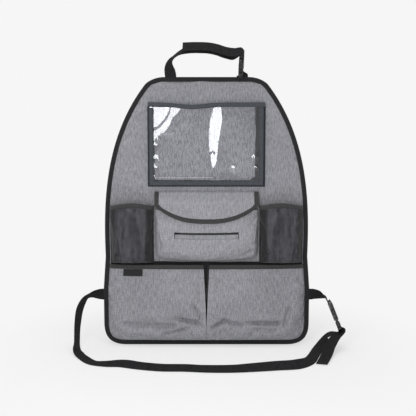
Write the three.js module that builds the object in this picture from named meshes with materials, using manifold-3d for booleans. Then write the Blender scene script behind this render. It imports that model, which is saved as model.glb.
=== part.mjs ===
// A car seat back organizer: a padded fabric panel with a taped edge, a clear tablet pocket, a tissue
// pocket under a curved flap, two mesh bottle pockets, two large lower pockets, and a headrest strap and
// a waist strap that each close with a side-release buckle. Millimetres, +Z up, +X right, the front faces -Y.
// The origin is the centre of the rear face, which lies against the seat back.
import * as THREE from 'three';
import { mergeVertices } from 'three/addons/utils/BufferGeometryUtils.js';
import Module from 'manifold-3d';

const wasm = await Module();
wasm.setup();

// Clearance between pieces that are sewn or threaded together
const seam = 0.3;
const coreClearance = 0.4;

// Panel: face cloth on foam in front, felt lining behind, both pressed thin at the rim
const panelWidth = 458;
const panelHeight = 608;
const footRadius = 50;
const footTightness = 0.3;
const footFlare = 3.6;
const flareHeight = 130;
const waistInset = 2;
const waistHeight = 205;
const shoulderSwell = 3;
const shoulderHandle = 110;
const crownHalfWidth = 135;
const crownDrop = 16;
const crownFlatHalf = 94;
const crownHandle = 123;
const crownTurn = [9, 10];
const crownEase = 14;
const faceCore = 2.8;
const faceRim = 2.0;
const liningCore = 1.7;
const liningRim = 0.5;

// Binding tape, folded over every edge
const tapeThickness = 0.9;
const edgeTapeReach = 9;
const pocketTapeReach = 8.5;
const foldGap = 0.55;

// Lower pockets
const lowerFoot = 11;
const lowerHeight = 177;
const lowerDepth = 27;
const lowerMouth = 17;
const lowerCloth = 1.2;
const lowerGapTop = 14;
const lowerGapFoot = 3;
const lowerGather = 1.6;
const lowerGatherPitch = 13;
const lowerCrease = 1.5;
const lowerCreaseAt = 120;
const lowerCreaseWidth = 45;

// Label loop on the left lower pocket
const labelWidth = 43;
const labelHeight = 16;
const labelThickness = 0.8;
const labelInset = 31;

// Middle row: tissue pocket with its flap, and a mesh pocket at each side
const rowFoot = 192;
const tissueWidth = 230;
const tissueHeight = 122;
const tissueDepth = 25;
const tissueMouth = 15;
const tissueCloth = 1.2;
const tissueBelly = 9;
const tissueFootRise = 4;
const tissueFootTaper = 4;
const tissueTuck = 2.2;
const slotWidth = 143;
const slotHeight = 15;
const slotFromFoot = 57;
const slitHeight = 5.2;
const lipLap = 2;
const lipSink = 0.35;
const lipLean = 2.6;

const flapSideDrop = 30;
const flapCentreDrop = 68;
const flapSeam = 354;
const flapOverhang = 1.5;
const flapWidth = tissueWidth + 2 * flapOverhang;
const flapCloth = 1.2;
const flapFall = 26;
const flapEase = 1.5;
const hookTapeWidth = 70;
const hookTapeHeight = 14;
const hookTapeRise = 3;
const hookTapeThickness = 1.1;

const meshGap = 4;
const meshHeight = 130;
const meshArch = 9;
const meshDepth = 38;
const meshMouth = 31;
const meshCloth = 1.0;
const meshFold = 2.5;

// Tablet pocket
const tabletWidth = 262;
const tabletHeight = 188;
const tabletFoot = 365;
const tabletDepth = 9;
const tabletFlange = 4;
const tabletInset = 1.5;
const filmThickness = 0.5;
const filmSag = 2.2;
const filmDip = 5;
const filmWave = 0.9;
const filmRipple = 0.6;
const gussetCloth = 0.8;
const gussetLedge = 5;

// Webbing straps
const webbing = 25;
const webbingThickness = 1.4;
const rootDepth = 8;
const slitPastEdge = 4;
const layClearance = 1;
const tabLap = 6;
const tabTail = 9.5;
const headrestRoot = 79;
const waistRoot = 117;
const stepsPerKnot = 3;

// Side-release buckle, measured along its length from the centre of the socket's bar
const buckleWidth = 34;
const buckleThickness = 10;
const socketStart = 6;
const socketEnd = 35;
const socketWall = 2.6;
const cavityHeight = 6;
const windowStart = 14;
const windowEnd = 26;
const barThickness = 3.6;
const socketBar = 4;
const shoulderLength = 4;
const innerBarAt = 45.5;
const endBarAt = 54;
const plugBar = 3.6;
const railWidth = 3.2;
const railThickness = 6;
const prongWidth = 4;
const prongPlay = 0.4;
const prongThickness = cavityHeight - 2 * prongPlay;
const prongTaper = 2.5;
const lugProud = 0.4;
const tongueWidth = 4.4;
const tongueFromWindow = 6;
const buckleRound = 3;
const buckleWaist = 1.6;
const buckleChamfer = 1;
const windowEase = 2;

// Finishes, with their colours as sRGB hex
const finishes = {
  heather: { color: 0x8f8f93, roughness: 0.95 },
  flapHeather: { color: 0x98989c, roughness: 0.95 },
  felt: { color: 0x3a3a3c, roughness: 0.98 },
  tape: { color: 0x3a3a3b, roughness: 0.9 },
  mesh: { color: 0x47464b, roughness: 0.85 },
  film: { color: 0xdfe4e8, roughness: 0.08, transparent: true, opacity: 0.3 },
  frameTape: { color: 0x33373b, roughness: 0.8 },
  blackCloth: { color: 0x2a2a2c, roughness: 0.95 },
  webbing: { color: 0x262627, roughness: 0.85 },
  plastic: { color: 0x232324, roughness: 0.4 },
  label: { color: 0x28282a, roughness: 0.7 },
};

// Derived places
const footZ = -panelHeight / 2;
const topZ = panelHeight / 2;
const frontY = -(liningCore + faceCore);
const bindingWall = tapeThickness + seam;
const rimBackY = -(liningCore - liningRim);
const rimFrontY = -(liningCore + faceRim);
const bindingFrontY = rimFrontY - bindingWall;
const coreInset = edgeTapeReach + coreClearance;
const pocketInset = edgeTapeReach + bindingWall + 2 * seam;
const rootY = -(liningCore + faceRim / 2);
const floorZ = footZ - bindingWall;

const point = (x, y, z) => new THREE.Vector3(x, y, z);
const onFront = (x, height, z) => point(x, frontY - height, z);
const mix = (a, b, t) => a + (b - a) * t;
const smooth = (t) => {
  const s = Math.min(1, Math.max(0, t));
  return s * s * (3 - 2 * s);
};
const bump = (t, centre, spread) => Math.exp(-(((t - centre) / spread) ** 2));
const steps = (count) => Array.from({ length: count + 1 }, (_, i) => i / count);
const superRise = (t, power) => (1 - Math.abs(t) ** power) ** (1 / power);
const evened = (t, power) => Math.sign(t) * Math.abs(t) ** power;

// Meshes and solids

function signedVolume(positions, index) {
  const [a, b, c] = [point(0, 0, 0), point(0, 0, 0), point(0, 0, 0)];
  let total = 0;
  for (let i = 0; i < index.length; i += 3) {
    a.fromArray(positions, index[i] * 3);
    b.fromArray(positions, index[i + 1] * 3);
    c.fromArray(positions, index[i + 2] * 3);
    total += a.dot(b.cross(c)) / 6;
  }
  return total;
}

function closedGeometry(positions, index) {
  const faces = [...index];
  if (signedVolume(positions, faces) < 0) {
    for (let i = 0; i < faces.length; i += 3) {
      [faces[i + 1], faces[i + 2]] = [faces[i + 2], faces[i + 1]];
    }
  }
  const geometry = new THREE.BufferGeometry();
  geometry.setAttribute('position', new THREE.Float32BufferAttribute(positions, 3));
  geometry.setIndex(faces);
  return geometry;
}

function merged(geometry) {
  const bare = geometry.clone();
  bare.deleteAttribute('normal');
  bare.deleteAttribute('uv');
  const joined = mergeVertices(bare, 1e-4);
  return closedGeometry(Array.from(joined.attributes.position.array), Array.from(joined.index.array));
}

function toSolid(geometry) {
  const clean = merged(geometry);
  return new wasm.Manifold(new wasm.Mesh({
    numProp: 3,
    vertProperties: new Float32Array(clean.attributes.position.array),
    triVerts: new Uint32Array(clean.index.array),
  }));
}

function fromSolid(solid) {
  const mesh = solid.getMesh();
  return closedGeometry(Array.from(mesh.vertProperties), Array.from(mesh.triVerts));
}

function cut(geometry, tools) {
  return fromSolid(tools.reduce((solid, tool) => solid.subtract(toSolid(tool)), toSolid(geometry)));
}

function join(geometries) {
  return fromSolid(geometries.map(toSolid).reduce((whole, next) => whole.add(next)));
}

function block(x0, x1, y0, y1, z0, z1) {
  const geometry = new THREE.BoxGeometry(x1 - x0, y1 - y0, z1 - z0);
  geometry.translate((x0 + x1) / 2, (y0 + y1) / 2, (z0 + z1) / 2);
  return geometry;
}

function mirrored(geometry) {
  const positions = Array.from(geometry.attributes.position.array);
  for (let i = 0; i < positions.length; i += 3) positions[i] = -positions[i];
  return closedGeometry(positions, Array.from(geometry.index.array));
}

// A closed skin through rings of points, capped at both ends or joined into a loop
function loft(rings, loop = false) {
  const count = rings[0].length;
  const positions = rings.flat().flatMap((p) => [p.x, p.y, p.z]);
  const index = [];
  const last = loop ? rings.length : rings.length - 1;
  for (let i = 0; i < last; i += 1) {
    const [low, high] = [i * count, ((i + 1) % rings.length) * count];
    for (let j = 0; j < count; j += 1) {
      const k = (j + 1) % count;
      index.push(low + j, low + k, high + k, low + j, high + k, high + j);
    }
  }
  if (!loop) {
    const lastStart = (rings.length - 1) * count;
    for (const [start, ring] of [[0, rings[0]], [lastStart, rings.at(-1)]]) {
      for (const [a, b, c] of THREE.ShapeUtils.triangulateShape(flatten(ring), [])) {
        index.push(start + a, ...(start ? [start + b, start + c] : [start + c, start + b]));
      }
    }
  }
  return closedGeometry(positions, index);
}

// The points of a flat ring in its own plane, turning the way that its loft turns
function flatten(ring) {
  const normal = point(0, 0, 0);
  ring.forEach((p, i) => normal.add(p.clone().cross(ring[(i + 1) % ring.length])));
  normal.normalize();
  const across = ring[1].clone().sub(ring[0]).normalize();
  const up = normal.clone().cross(across);
  return ring.map((p) => new THREE.Vector2(p.dot(across), p.dot(up)));
}

// Panel outline, as points and outward normals, anticlockwise from the middle of the foot
function rightHalf() {
  const [foot, waist] = [panelWidth / 2 + footFlare, panelWidth / 2 - waistInset];
  const [round, swell] = [footTightness * footRadius, waist + shoulderSwell];
  const path = new THREE.Path();
  path.moveTo(0, footZ);
  path.lineTo(foot - footRadius, footZ);
  path.bezierCurveTo(foot - round, footZ, foot, footZ + round, foot, footZ + footRadius);
  path.lineTo(foot, footZ + flareHeight);
  path.lineTo(waist, footZ + waistHeight);
  const crown = topZ - crownDrop;
  const [rising, falling] = [footZ + waistHeight + shoulderHandle, crown - crownHandle];
  path.bezierCurveTo(swell, rising, swell, falling, crownHalfWidth, crown);
  const [turnX, turnZ] = [crownHalfWidth - crownTurn[0], crown + crownTurn[1]];
  path.bezierCurveTo(turnX, turnZ, crownFlatHalf + crownEase, topZ, crownFlatHalf, topZ);
  path.lineTo(0, topZ);
  return path.curves.flatMap((curve, i) => {
    const divisions = [1, 7, 1, 1, 11, 5, 1][i];
    return curve.getPoints(divisions).slice(i ? 1 : 0);
  });
}

const outline = (() => {
  const right = rightHalf();
  const left = right.slice(1, -1).reverse().map((p) => new THREE.Vector2(-p.x, p.y));
  return [...right, ...left];
})();

const outlineNormals = outline.map((p, i) => {
  const before = outline[(i + outline.length - 1) % outline.length];
  const after = outline[(i + 1) % outline.length];
  const into = p.clone().sub(before).normalize();
  const away = after.clone().sub(p).normalize();
  const normal = new THREE.Vector2(into.y + away.y, -(into.x + away.x)).normalize();
  return normal.divideScalar(normal.dot(new THREE.Vector2(into.y, -into.x)));
});

const offsetOutline = (out) => outline.map((p, i) => p.clone().addScaledVector(outlineNormals[i], out));

// Half the panel's width at a height, measured to a line that lies inset from its edge
function halfWidthAt(z, inset) {
  const line = offsetOutline(-inset).slice(0, rightHalf().length);
  for (let i = 1; i < line.length; i += 1) {
    if (z <= line[i].y && line[i].y > line[i - 1].y) {
      const share = Math.max(0, (z - line[i - 1].y) / (line[i].y - line[i - 1].y));
      return mix(line[i - 1].x, line[i].x, share);
    }
  }
  return line.at(-1).x;
}

// A plate with the panel's outline: profile is a list of [outward offset, y] from one face to the other
function plate(profile) {
  const rings = profile.map(([out, y]) => offsetOutline(out).map((p) => point(p.x, y, p.y)));
  return loft(rings);
}

// Sheets: a surface(u, v) gives the outer skin, u to the right and v up

function skinPoint(surface, u, v, offset) {
  const step = 0.001;
  const [u0, u1] = [Math.max(0, u - step), Math.min(1, u + step)];
  const [v0, v1] = [Math.max(0, v - step), Math.min(1, v + step)];
  const across = surface(u1, v).sub(surface(u0, v));
  const along = surface(u, v1).sub(surface(u, v0));
  const skin = surface(u, v).addScaledVector(across.cross(along).normalize(), offset);
  skin.y = Math.min(skin.y, frontY - seam);
  return skin;
}

function sheet(surface, us, vs, thickness, lift = 0) {
  const skins = [lift, lift - thickness].map((offset) =>
    vs.flatMap((v) => us.map((u) => skinPoint(surface, u, v, offset))));
  const [columns, rows] = [us.length, vs.length];
  const size = columns * rows;
  const positions = skins.flat().flatMap((p) => [p.x, p.y, p.z]);
  const index = [];
  const quad = (a, b, c, d) => index.push(a, b, c, a, c, d);
  for (let j = 0; j + 1 < rows; j += 1) {
    for (let i = 0; i + 1 < columns; i += 1) {
      const a = j * columns + i;
      quad(a, a + 1, a + columns + 1, a + columns);
      quad(size + a, size + a + columns, size + a + columns + 1, size + a + 1);
    }
  }
  for (let i = 0; i + 1 < columns; i += 1) {
    const top = (rows - 1) * columns + i;
    quad(i + 1, i, size + i, size + i + 1);
    quad(top, top + 1, size + top + 1, size + top);
  }
  for (let j = 0; j + 1 < rows; j += 1) {
    const [left, right] = [j * columns, (j + 1) * columns - 1];
    quad(left, left + columns, size + left + columns, size + left);
    quad(right + columns, right, size + right, size + right + columns);
  }
  return closedGeometry(positions, index);
}

// Binding tape folded over a sheet's edge: stations lists [edge u, edge v, inner u, inner v]
function foldedTape(surface, stations, cloth, pastEdge) {
  const [outer, inner] = [foldGap, -(cloth + foldGap)];
  return loft(stations.map(([u, v, iu, iv]) => {
    const at = (offset, past) => {
      const edge = skinPoint(surface, u, v, offset);
      const reach = skinPoint(surface, iu, iv, offset);
      return past ? edge.clone().addScaledVector(edge.clone().sub(reach).normalize(), past) : edge;
    };
    const deep = (offset) => skinPoint(surface, iu, iv, offset);
    return [
      deep(outer + tapeThickness), at(outer + tapeThickness, seam), at(outer, pastEdge),
      at(inner, pastEdge), at(inner - tapeThickness, seam), deep(inner - tapeThickness),
      deep(inner), at(inner, seam), at(outer, seam), deep(outer),
    ];
  }));
}

// Panel, lining and edge binding

const bindingSection = [
  [-edgeTapeReach, 0], [-edgeTapeReach, -tapeThickness], [seam, -tapeThickness],
  [seam, rimFrontY - seam], [-edgeTapeReach, rimFrontY - seam], [-edgeTapeReach, bindingFrontY],
  [0, bindingFrontY], [bindingWall, bindingFrontY + bindingWall], [bindingWall, -bindingWall], [0, 0],
];

const waistEdge = halfWidthAt(footZ + waistRoot, 0);

// The places where webbing is sewn into the rim: x, z, and whether it leaves sideways
const roots = [
  [-waistEdge, footZ + waistRoot, true], [waistEdge, footZ + waistRoot, true],
  [-headrestRoot, topZ, false], [headrestRoot, topZ, false],
];

function rootBlock([x, z, sideways], y0, y1) {
  const half = webbing / 2 + seam;
  const depth = rootDepth + seam;
  if (!sideways) return block(x - half, x + half, y0, y1, z - depth, z + slitPastEdge);
  const [x0, x1] = x > 0 ? [x - depth, x + slitPastEdge] : [x - slitPastEdge, x + depth];
  return block(x0, x1, y0, y1, z - half, z + half);
}

const slitHalf = webbingThickness / 2 + seam;
const rootSlits = () => roots.map((root) => rootBlock(root, rootY - slitHalf, rootY + slitHalf));
const rootNotches = () => roots.map((root) => rootBlock(root, rimFrontY - seam, seam - liningCore));

function frontPanel() {
  const profile = [[0, -liningCore], [0, rimFrontY], [-coreInset, rimFrontY], [-coreInset, frontY]];
  return cut(plate(profile), rootNotches());
}

const backLining = () => plate([[-coreInset, 0], [-coreInset, rimBackY], [0, rimBackY], [0, -liningCore]]);

function edgeBinding() {
  const stations = outline.map((p, i) => bindingSection.map(([out, y]) => {
    const q = p.clone().addScaledVector(outlineNormals[i], out);
    return point(q.x, y, q.y);
  }));
  return cut(loft(stations, true), rootSlits());
}

// Lower pockets: soft box pockets with a rounded foot, sewn at the outer side and foot, open at the top

const tapeV = 1 - pocketTapeReach / lowerHeight;
const lowerRows = [0, 0.008, 0.03, 0.07, 0.12, 0.19, 0.3, 0.45, 0.62, 0.8, tapeV, 1];
const lowerColumns = steps(13);
const lowerEven = 0.8;
const lowerSideRound = 2.5;
const lowerFootRound = 2.3;
const lowerFootShare = 0.16;
const lowerCloseFrom = 0.15;
const gatherV = [0.13, 0.07];
const creaseV = [0.17, 0.04];
const creaseShift = 20;

// The cloth lifts towards the mouth, so that the tape folded over its edge clears the panel
const liftShare = 0.06;
const tapeLift = (v, from) => (tapeThickness + 2 * seam) * smooth((v - from + liftShare) / liftShare);

function lowerSurface(phase) {
  return (u, v) => {
    const z = footZ + lowerFoot + v * lowerHeight;
    const outer = halfWidthAt(z, pocketInset);
    const inner = mix(lowerGapFoot, lowerGapTop, v ** 1.5) / 2;
    const across = Math.min(1, evened(Math.cos((u * Math.PI) / 2), lowerEven));
    const rise = superRise(across, lowerSideRound);
    const x = mix(inner, outer, across);
    const depth = mix(lowerDepth, lowerMouth, smooth((v - lowerCloseFrom) / (1 - lowerCloseFrom)));
    const foot = superRise(1 - Math.min(1, v / lowerFootShare), lowerFootRound);
    const gather = lowerGather * bump(v, ...gatherV) * Math.sin(x / lowerGatherPitch + phase) * rise;
    const creaseAt = lowerCreaseAt + creaseShift * phase;
    const crease = -lowerCrease * bump(v, ...creaseV) * bump(x, creaseAt, lowerCreaseWidth);
    const edge = lowerCloth + seam + tapeLift(v, tapeV);
    return onFront(-x, edge + (depth - edge) * rise * foot + (gather + crease) * foot, z);
  };
}

const topStations = (us, v) => us.map((u) => [u, 1, u, v]);

const gussetFootV = 0.03;
const gussetTopV = tapeV - 0.01;
const gussetReach = 0.96;

function centreGusset(surface) {
  const wall = (u, v) => {
    const edge = skinPoint(surface, 1, mix(gussetFootV, gussetTopV, v), -(lowerCloth + seam));
    const reach = u * gussetReach;
    return point(mix(-lowerGapFoot / 2, edge.x, reach), mix(frontY - 2 * seam, edge.y, reach), edge.z);
  };
  return sheet(wall, steps(2), steps(7), gussetCloth);
}

// The label is a short folded tape, sewn to the cloth under the binding
function labelLoop(surface) {
  const top = 1 - (pocketTapeReach + 2 * seam) / lowerHeight;
  const low = top - labelHeight / lowerHeight;
  const outer = halfWidthAt(footZ + lowerFoot + top * lowerHeight, pocketInset);
  const inner = lowerGapTop / 2;
  const across = (x) => (-x - inner) / (outer - inner);
  const uAt = (x) => (2 / Math.PI) * Math.acos(across(x) ** (1 / lowerEven));
  const left = labelInset - outer;
  const [u0, u1] = [uAt(left), uAt(left + labelWidth)];
  const patch = (u, v) => surface(mix(u0, u1, u), mix(low, top, v));
  return sheet(patch, steps(3), steps(2), labelThickness, labelThickness + 2 * seam);
}

// Tissue pocket: a box pocket with steep sides and a sagging foot, and a hemmed slot in its front

const tissueRows = [0, 0.01, 0.04, 0.1, 0.2, 0.34, 0.5, 0.66, 0.84, 1];
const tissueColumns = steps(20);
const tissueEven = 0.5;
const tissueSideRound = 5;
const tissueFootRound = 2.2;
const tissueFootShare = 0.16;
const tissueCloseFrom = 0.45;
const taperShare = 0.12;
const tuckV = [0.12, 0.08];
const tuckAcross = [0.8, 0.18];

function tissueDepthAt(v) {
  return mix(tissueDepth, tissueMouth, smooth((v - tissueCloseFrom) / (1 - tissueCloseFrom)));
}

function tissueSurface(u, v) {
  const across = evened(Math.cos(Math.PI * (1 - u)), tissueEven);
  const rise = superRise(Math.min(1, Math.abs(across)), tissueSideRound);
  const foot = rowFoot + tissueFootRise + tissueBelly * across * across;
  const z = footZ + mix(foot, rowFoot + tissueHeight, v);
  const close = superRise(1 - Math.min(1, v / tissueFootShare), tissueFootRound);
  const tuck = tissueTuck * bump(v, ...tuckV) * bump(across, ...tuckAcross);
  const edge = tissueCloth + seam;
  const height = edge + ((tissueDepthAt(v) - edge) - tuck) * rise * close;
  const half = tissueWidth / 2 - tissueFootTaper * bump(v, 0, taperShare);
  return onFront(half * across, Math.max(edge, height), z);
}

// The pocket's outer skin at a place x, z in front of the panel
function tissueFrontAt(x, z) {
  const across = x / (tissueWidth / 2);
  const foot = footZ + rowFoot + tissueFootRise + tissueBelly * across * across;
  const u = 1 - Math.acos(evened(across, 1 / tissueEven)) / Math.PI;
  return tissueSurface(u, (z - foot) / (footZ + rowFoot + tissueHeight - foot));
}

const slotZ = footZ + rowFoot + slotFromFoot;
const lipColumns = steps(8);
const lipRows = [0, 0.16, 0.35, 0.6, 1];

// The slot's lower edge turns in and stands up behind the opening, so that only a slit along its top is open
function slotLip() {
  const face = (u, v) => {
    const z = mix(slotZ - lipLap, slotZ + slotHeight - slitHeight, v);
    const skin = tissueFrontAt((u - 0.5) * (slotWidth - 2 * seam), z);
    skin.y += mix(lipSink, lipLean, smooth(v));
    return skin;
  };
  return sheet(face, lipColumns, lipRows, tissueCloth);
}

function tissuePocket() {
  const shell = sheet(tissueSurface, tissueColumns, tissueRows, tissueCloth);
  const [far, near] = [frontY - 1.5 * tissueDepth, frontY - 0.5 * tissueDepth];
  const slot = block(-slotWidth / 2, slotWidth / 2, far, near, slotZ, slotZ + slotHeight);
  return join([cut(shell, [slot]), slotLip()]);
}

// Flap: sewn to the panel above the pocket, and hanging over the pocket's mouth and front

const flapHalf = flapWidth / 2 - tapeThickness - seam;
const hookStack = 3 * seam + 2 * hookTapeThickness;

const flapSideFlat = 0.2;
const flapDropAt = (across) => mix(flapCentreDrop, flapSideDrop, Math.abs(across) ** 2.6);

function flapSurface(u, v) {
  const across = 2 * u - 1;
  const below = (1 - v) * flapDropAt(across);
  const z = footZ + flapSeam - below;
  const front = tissueDepthAt((z - footZ - rowFoot) / tissueHeight) + hookStack + flapCloth;
  const edge = flapCloth + 3 * seam + tapeThickness;
  const crown = 1 - flapSideFlat * across ** 4;
  return onFront(flapHalf * across, mix(edge, front * crown + flapEase, smooth(below / flapFall)), z);
}

const flapInset = pocketTapeReach / (2 * flapHalf);
const flapColumns = [0, flapInset, ...steps(16).slice(1, -1), 1 - flapInset, 1];
const flapReach = pocketTapeReach / flapSideDrop;
const flapRows = [0, 0.5 * flapReach, flapReach, 0.36, 0.45, 0.54, 0.64, 0.78, 0.9, 1];

const flapTurn = 0.07;

function flapBinding() {
  const sides = flapRows.slice(1);
  const level = (v) => Math.max(v, flapReach);
  const left = [...sides].reverse().map((v) => [0, v, flapInset, level(v)]);
  const foot = flapColumns.map((u) => {
    const turn = smooth(Math.min(u, 1 - u) / flapTurn);
    const iu = mix(Math.sign(0.5 - u) * flapInset, 0, turn);
    return [u, 0, u + iu, pocketTapeReach / flapDropAt(2 * u - 1)];
  });
  const right = sides.map((v) => [1, v, 1 - flapInset, level(v)]);
  return foldedTape(flapSurface, [...left, ...foot, ...right], flapCloth, bindingWall);
}

// Loop tape on the pocket's front, and hook tape inside the flap over it
const tapePatchColumns = steps(4);
const tapePatchRows = steps(2);

function loopTape() {
  const z0 = footZ + flapSeam - flapCentreDrop + pocketTapeReach + hookTapeRise;
  const face = (u, v) => {
    const [x, z] = [(u - 0.5) * hookTapeWidth, z0 + v * hookTapeHeight];
    const share = (z - footZ - rowFoot - tissueFootRise) / (tissueHeight - tissueFootRise);
    const rise = superRise(Math.min(1, Math.abs((2 * x) / tissueWidth)), tissueSideRound);
    return onFront(x, tissueDepthAt(share) * rise, z);
  };
  return sheet(face, tapePatchColumns, tapePatchRows, hookTapeThickness, 2 * seam + hookTapeThickness);
}

function hookTape() {
  const uAt = (side) => 0.5 + (side * hookTapeWidth) / (4 * flapHalf);
  const vAt = (rise) => (pocketTapeReach + hookTapeRise + rise) / flapCentreDrop;
  const under = (u, v) => flapSurface(mix(uAt(-1), uAt(1), u), mix(vAt(0), vAt(hookTapeHeight), v));
  return sheet(under, tapePatchColumns, tapePatchRows, hookTapeThickness, -(flapCloth + seam));
}

// Mesh pockets: round bottle pockets, open at the top, with elastic tape at the mouth

const meshInner = tissueWidth / 2 + meshGap;
const meshTapeV = 1 - pocketTapeReach / meshHeight;
const meshRows = [0, 0.012, 0.05, 0.11, 0.2, 0.34, 0.5, 0.66, 0.82, meshTapeV, 1];
const meshColumns = steps(16);
const meshEven = 0.8;
const meshSideRound = 2.5;
const meshFootRound = 2.2;
const meshFootShare = 0.15;
const meshCloseFrom = 0.3;
const meshFoldAcross = [-0.55, 0.12];
const meshFoldShift = 0.15;
const meshFoldV = [0.75, 0.3];

function meshSurface(phase) {
  return (u, v) => {
    const across = evened(Math.cos(Math.PI * (1 - u)), meshEven);
    const rise = superRise(Math.min(1, Math.abs(across)), meshSideRound);
    const z = footZ + rowFoot + v * (meshHeight + meshArch * (1 - across * across));
    const outer = halfWidthAt(z, pocketInset);
    const [centre, half] = [(outer + meshInner) / 2, (outer - meshInner) / 2];
    const depth = mix(meshDepth, meshMouth, smooth((v - meshCloseFrom) / (1 - meshCloseFrom)));
    const close = superRise(1 - Math.min(1, v / meshFootShare), meshFootRound);
    const edge = meshCloth + seam + tapeLift(v, meshTapeV);
    const foldAt = bump(across, meshFoldAcross[0] + meshFoldShift * phase, meshFoldAcross[1]);
    const fold = -meshFold * foldAt * bump(v, ...meshFoldV) * rise;
    return onFront(-centre + half * across, edge + ((depth - edge) * rise + fold) * close, z);
  };
}

// Tablet pocket: a clear film front on a bound edge, standing off the panel on a folded black gusset

const tabletHalf = tabletWidth / 2 - tabletFlange - tabletInset;
const tabletInner = tabletHeight - tabletFlange - tabletInset;
const filmTape = 2 * (tapeThickness + seam) + filmThickness;

const filmTapeV = pocketTapeReach / tabletInner;
const filmTapeU = pocketTapeReach / (2 * tabletHalf);
const filmColumns = [0, filmTapeU, ...steps(14).slice(1, -1), 1 - filmTapeU, 1];
const filmRows = [0, filmTapeV, 0.2, 0.35, 0.5, 0.65, 0.8, 1 - filmTapeV, 1];
const filmFlatU = 1 - 2.2 * filmTapeU;
const filmFlatV = 1.1 * filmTapeV;
const filmSquareness = 4;
const filmFullest = 0.85;
const dipAcross = [-0.25, 0.32];
const dipFrom = 0.55;

function filmSurface(u, v) {
  const across = 2 * u - 1;
  const dip = filmDip * bump(across, ...dipAcross) * smooth((v - dipFrom) / (1 - dipFrom));
  const z = footZ + tabletFoot + tabletFlange + tabletInset + v * tabletInner - dip;
  const free = Math.min(1, Math.abs(across) / filmFlatU);
  const up = Math.min(filmFullest, Math.max(0, (v - filmFlatV) / (1 - filmFlatV)));
  const inside = superRise(free, filmSquareness) * Math.sqrt(Math.sin(0.98 * Math.PI * up));
  const wave = filmWave * Math.sin(across * 5.2 + 1.2 * v) + filmRipple * Math.sin(across * 9 - 4 * v);
  return onFront(tabletHalf * across, tabletDepth + (filmSag + wave) * inside, z);
}

function tabletSideBinding() {
  const sideRows = [1 - 1.3 * filmTapeV, 0.6, 0.3, 0.1];
  const level = (v) => Math.max(v, filmTapeV);
  const left = sideRows.map((v) => [0, v, filmTapeU, level(v)]);
  const foot = steps(10).slice(1, -1).map((u) => [u, 0, u, filmTapeV]);
  const right = [...sideRows].reverse().map((v) => [1, v, 1 - filmTapeU, level(v)]);
  const corner = (u, iu) => [u, 0.02 * filmTapeV, iu, filmTapeV];
  const stations = [...left, corner(0, filmTapeU), ...foot, corner(1, 1 - filmTapeU), ...right];
  return foldedTape(filmSurface, stations, filmThickness, bindingWall);
}

const tabletTopBinding = () =>
  foldedTape(filmSurface, filmColumns.map((u) => [u, 1, u, 1 - filmTapeV]), filmThickness, bindingWall);

// The gusset's section runs from the sewn flange up to the film's edge; its path is left, foot, right
function tabletGusset() {
  const [outer, lift] = [tabletWidth / 2, tabletDepth - filmTape + 2 * seam];
  const [bend, ledge] = [tabletFlange + tabletInset, tabletFlange + tabletInset + gussetLedge];
  const profile = [
    [0, seam], [tabletFlange, seam], [bend - 1, lift - gussetCloth], [ledge, lift - gussetCloth],
    [ledge, lift], [bend - 1.5, lift], [tabletFlange - 0.5, seam + gussetCloth], [0, seam + gussetCloth],
  ];
  const [low, high] = [footZ + tabletFoot, footZ + tabletFoot + tabletHeight - pocketTapeReach];
  const at = (x, z, inX, inZ) => profile.map(([i, h]) => onFront(x + i * inX, h, z + i * inZ));
  return loft([at(-outer, high, 1, 0), at(-outer, low, 1, 1), at(outer, low, -1, 1), at(outer, high, -1, 0)]);
}

// Webbing: a flat ribbon along a route. Each knot is [place, width direction]
function ribbon(knots) {
  const curve = (points) => new THREE.CatmullRomCurve3(points, false, 'centripetal');
  const route = curve(knots.map(([place]) => place));
  const widths = curve(knots.map(([, width]) => width.clone().normalize()));
  const [w, t] = [webbing / 2, webbingThickness / 2];
  const rings = steps(stepsPerKnot * (knots.length - 1)).map((s) => {
    const place = route.getPoint(s);
    const along = route.getTangent(s);
    const width = widths.getPoint(s);
    width.addScaledVector(along, -width.dot(along)).normalize();
    const face = along.clone().cross(width);
    const corner = (a, b) => place.clone().addScaledVector(width, a * w).addScaledVector(face, b * t);
    return [corner(-1, -1), corner(1, -1), corner(1, 1), corner(-1, 1)];
  });
  return loft(rings);
}

// A buckle's own axes: origin at the socket's bar, x across, y along and z through its thickness
function buckleFrame(origin, along, across) {
  const y = along.clone().normalize();
  const x = across.clone().addScaledVector(y, -across.dot(y)).normalize();
  const z = x.clone().cross(y);
  const matrix = new THREE.Matrix4().makeBasis(x, y, z).setPosition(origin);
  const at = (a, b, c) => point(a, b, c).applyMatrix4(matrix);
  return { matrix, at, across: x, back: x.clone().negate() };
}

const headrestBuckle = buckleFrame(
  point(headrestRoot - 3, -9, topZ + 12), point(0, -0.7, 0.714), point(0.1, 0.71, 0.7),
);
const waistBuckle = buckleFrame(
  point(panelWidth / 2 + 50, -27, footZ + waistRoot - 16), point(0.36, -0.27, -0.9), point(0.09, 0.96, -0.26),
);

// Webbing centre to bar centre, so that it clears the corners of the bar
const wrapRadius = Math.hypot(barThickness, socketBar) / 2 + seam + webbingThickness / 2;

// Knots that take the webbing round a bar, from the face at -side to the face at side
function wrapKnots(frame, width, barAt, side, outward) {
  return [-90, -45, 0, 45, 90].map((degrees) => {
    const angle = (degrees * Math.PI) / 180;
    const reach = wrapRadius * Math.cos(angle) * outward;
    return [frame.at(0, barAt + reach, side * wrapRadius * Math.sin(angle)), width];
  });
}

// A tab that goes round the socket's bar and back, from the face at -side to the face at side
function tabKnots(frame, width, side) {
  const pressed = (share) => side * (wrapRadius - share * webbingThickness);
  return [
    [frame.at(0, -tabLap, -pressed(0.4)), width],
    ...wrapKnots(frame, width, 0, side, 1),
    [frame.at(0, -tabLap, pressed(0.6)), width],
    [frame.at(0, -tabTail, pressed(1)), width],
  ];
}

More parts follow.
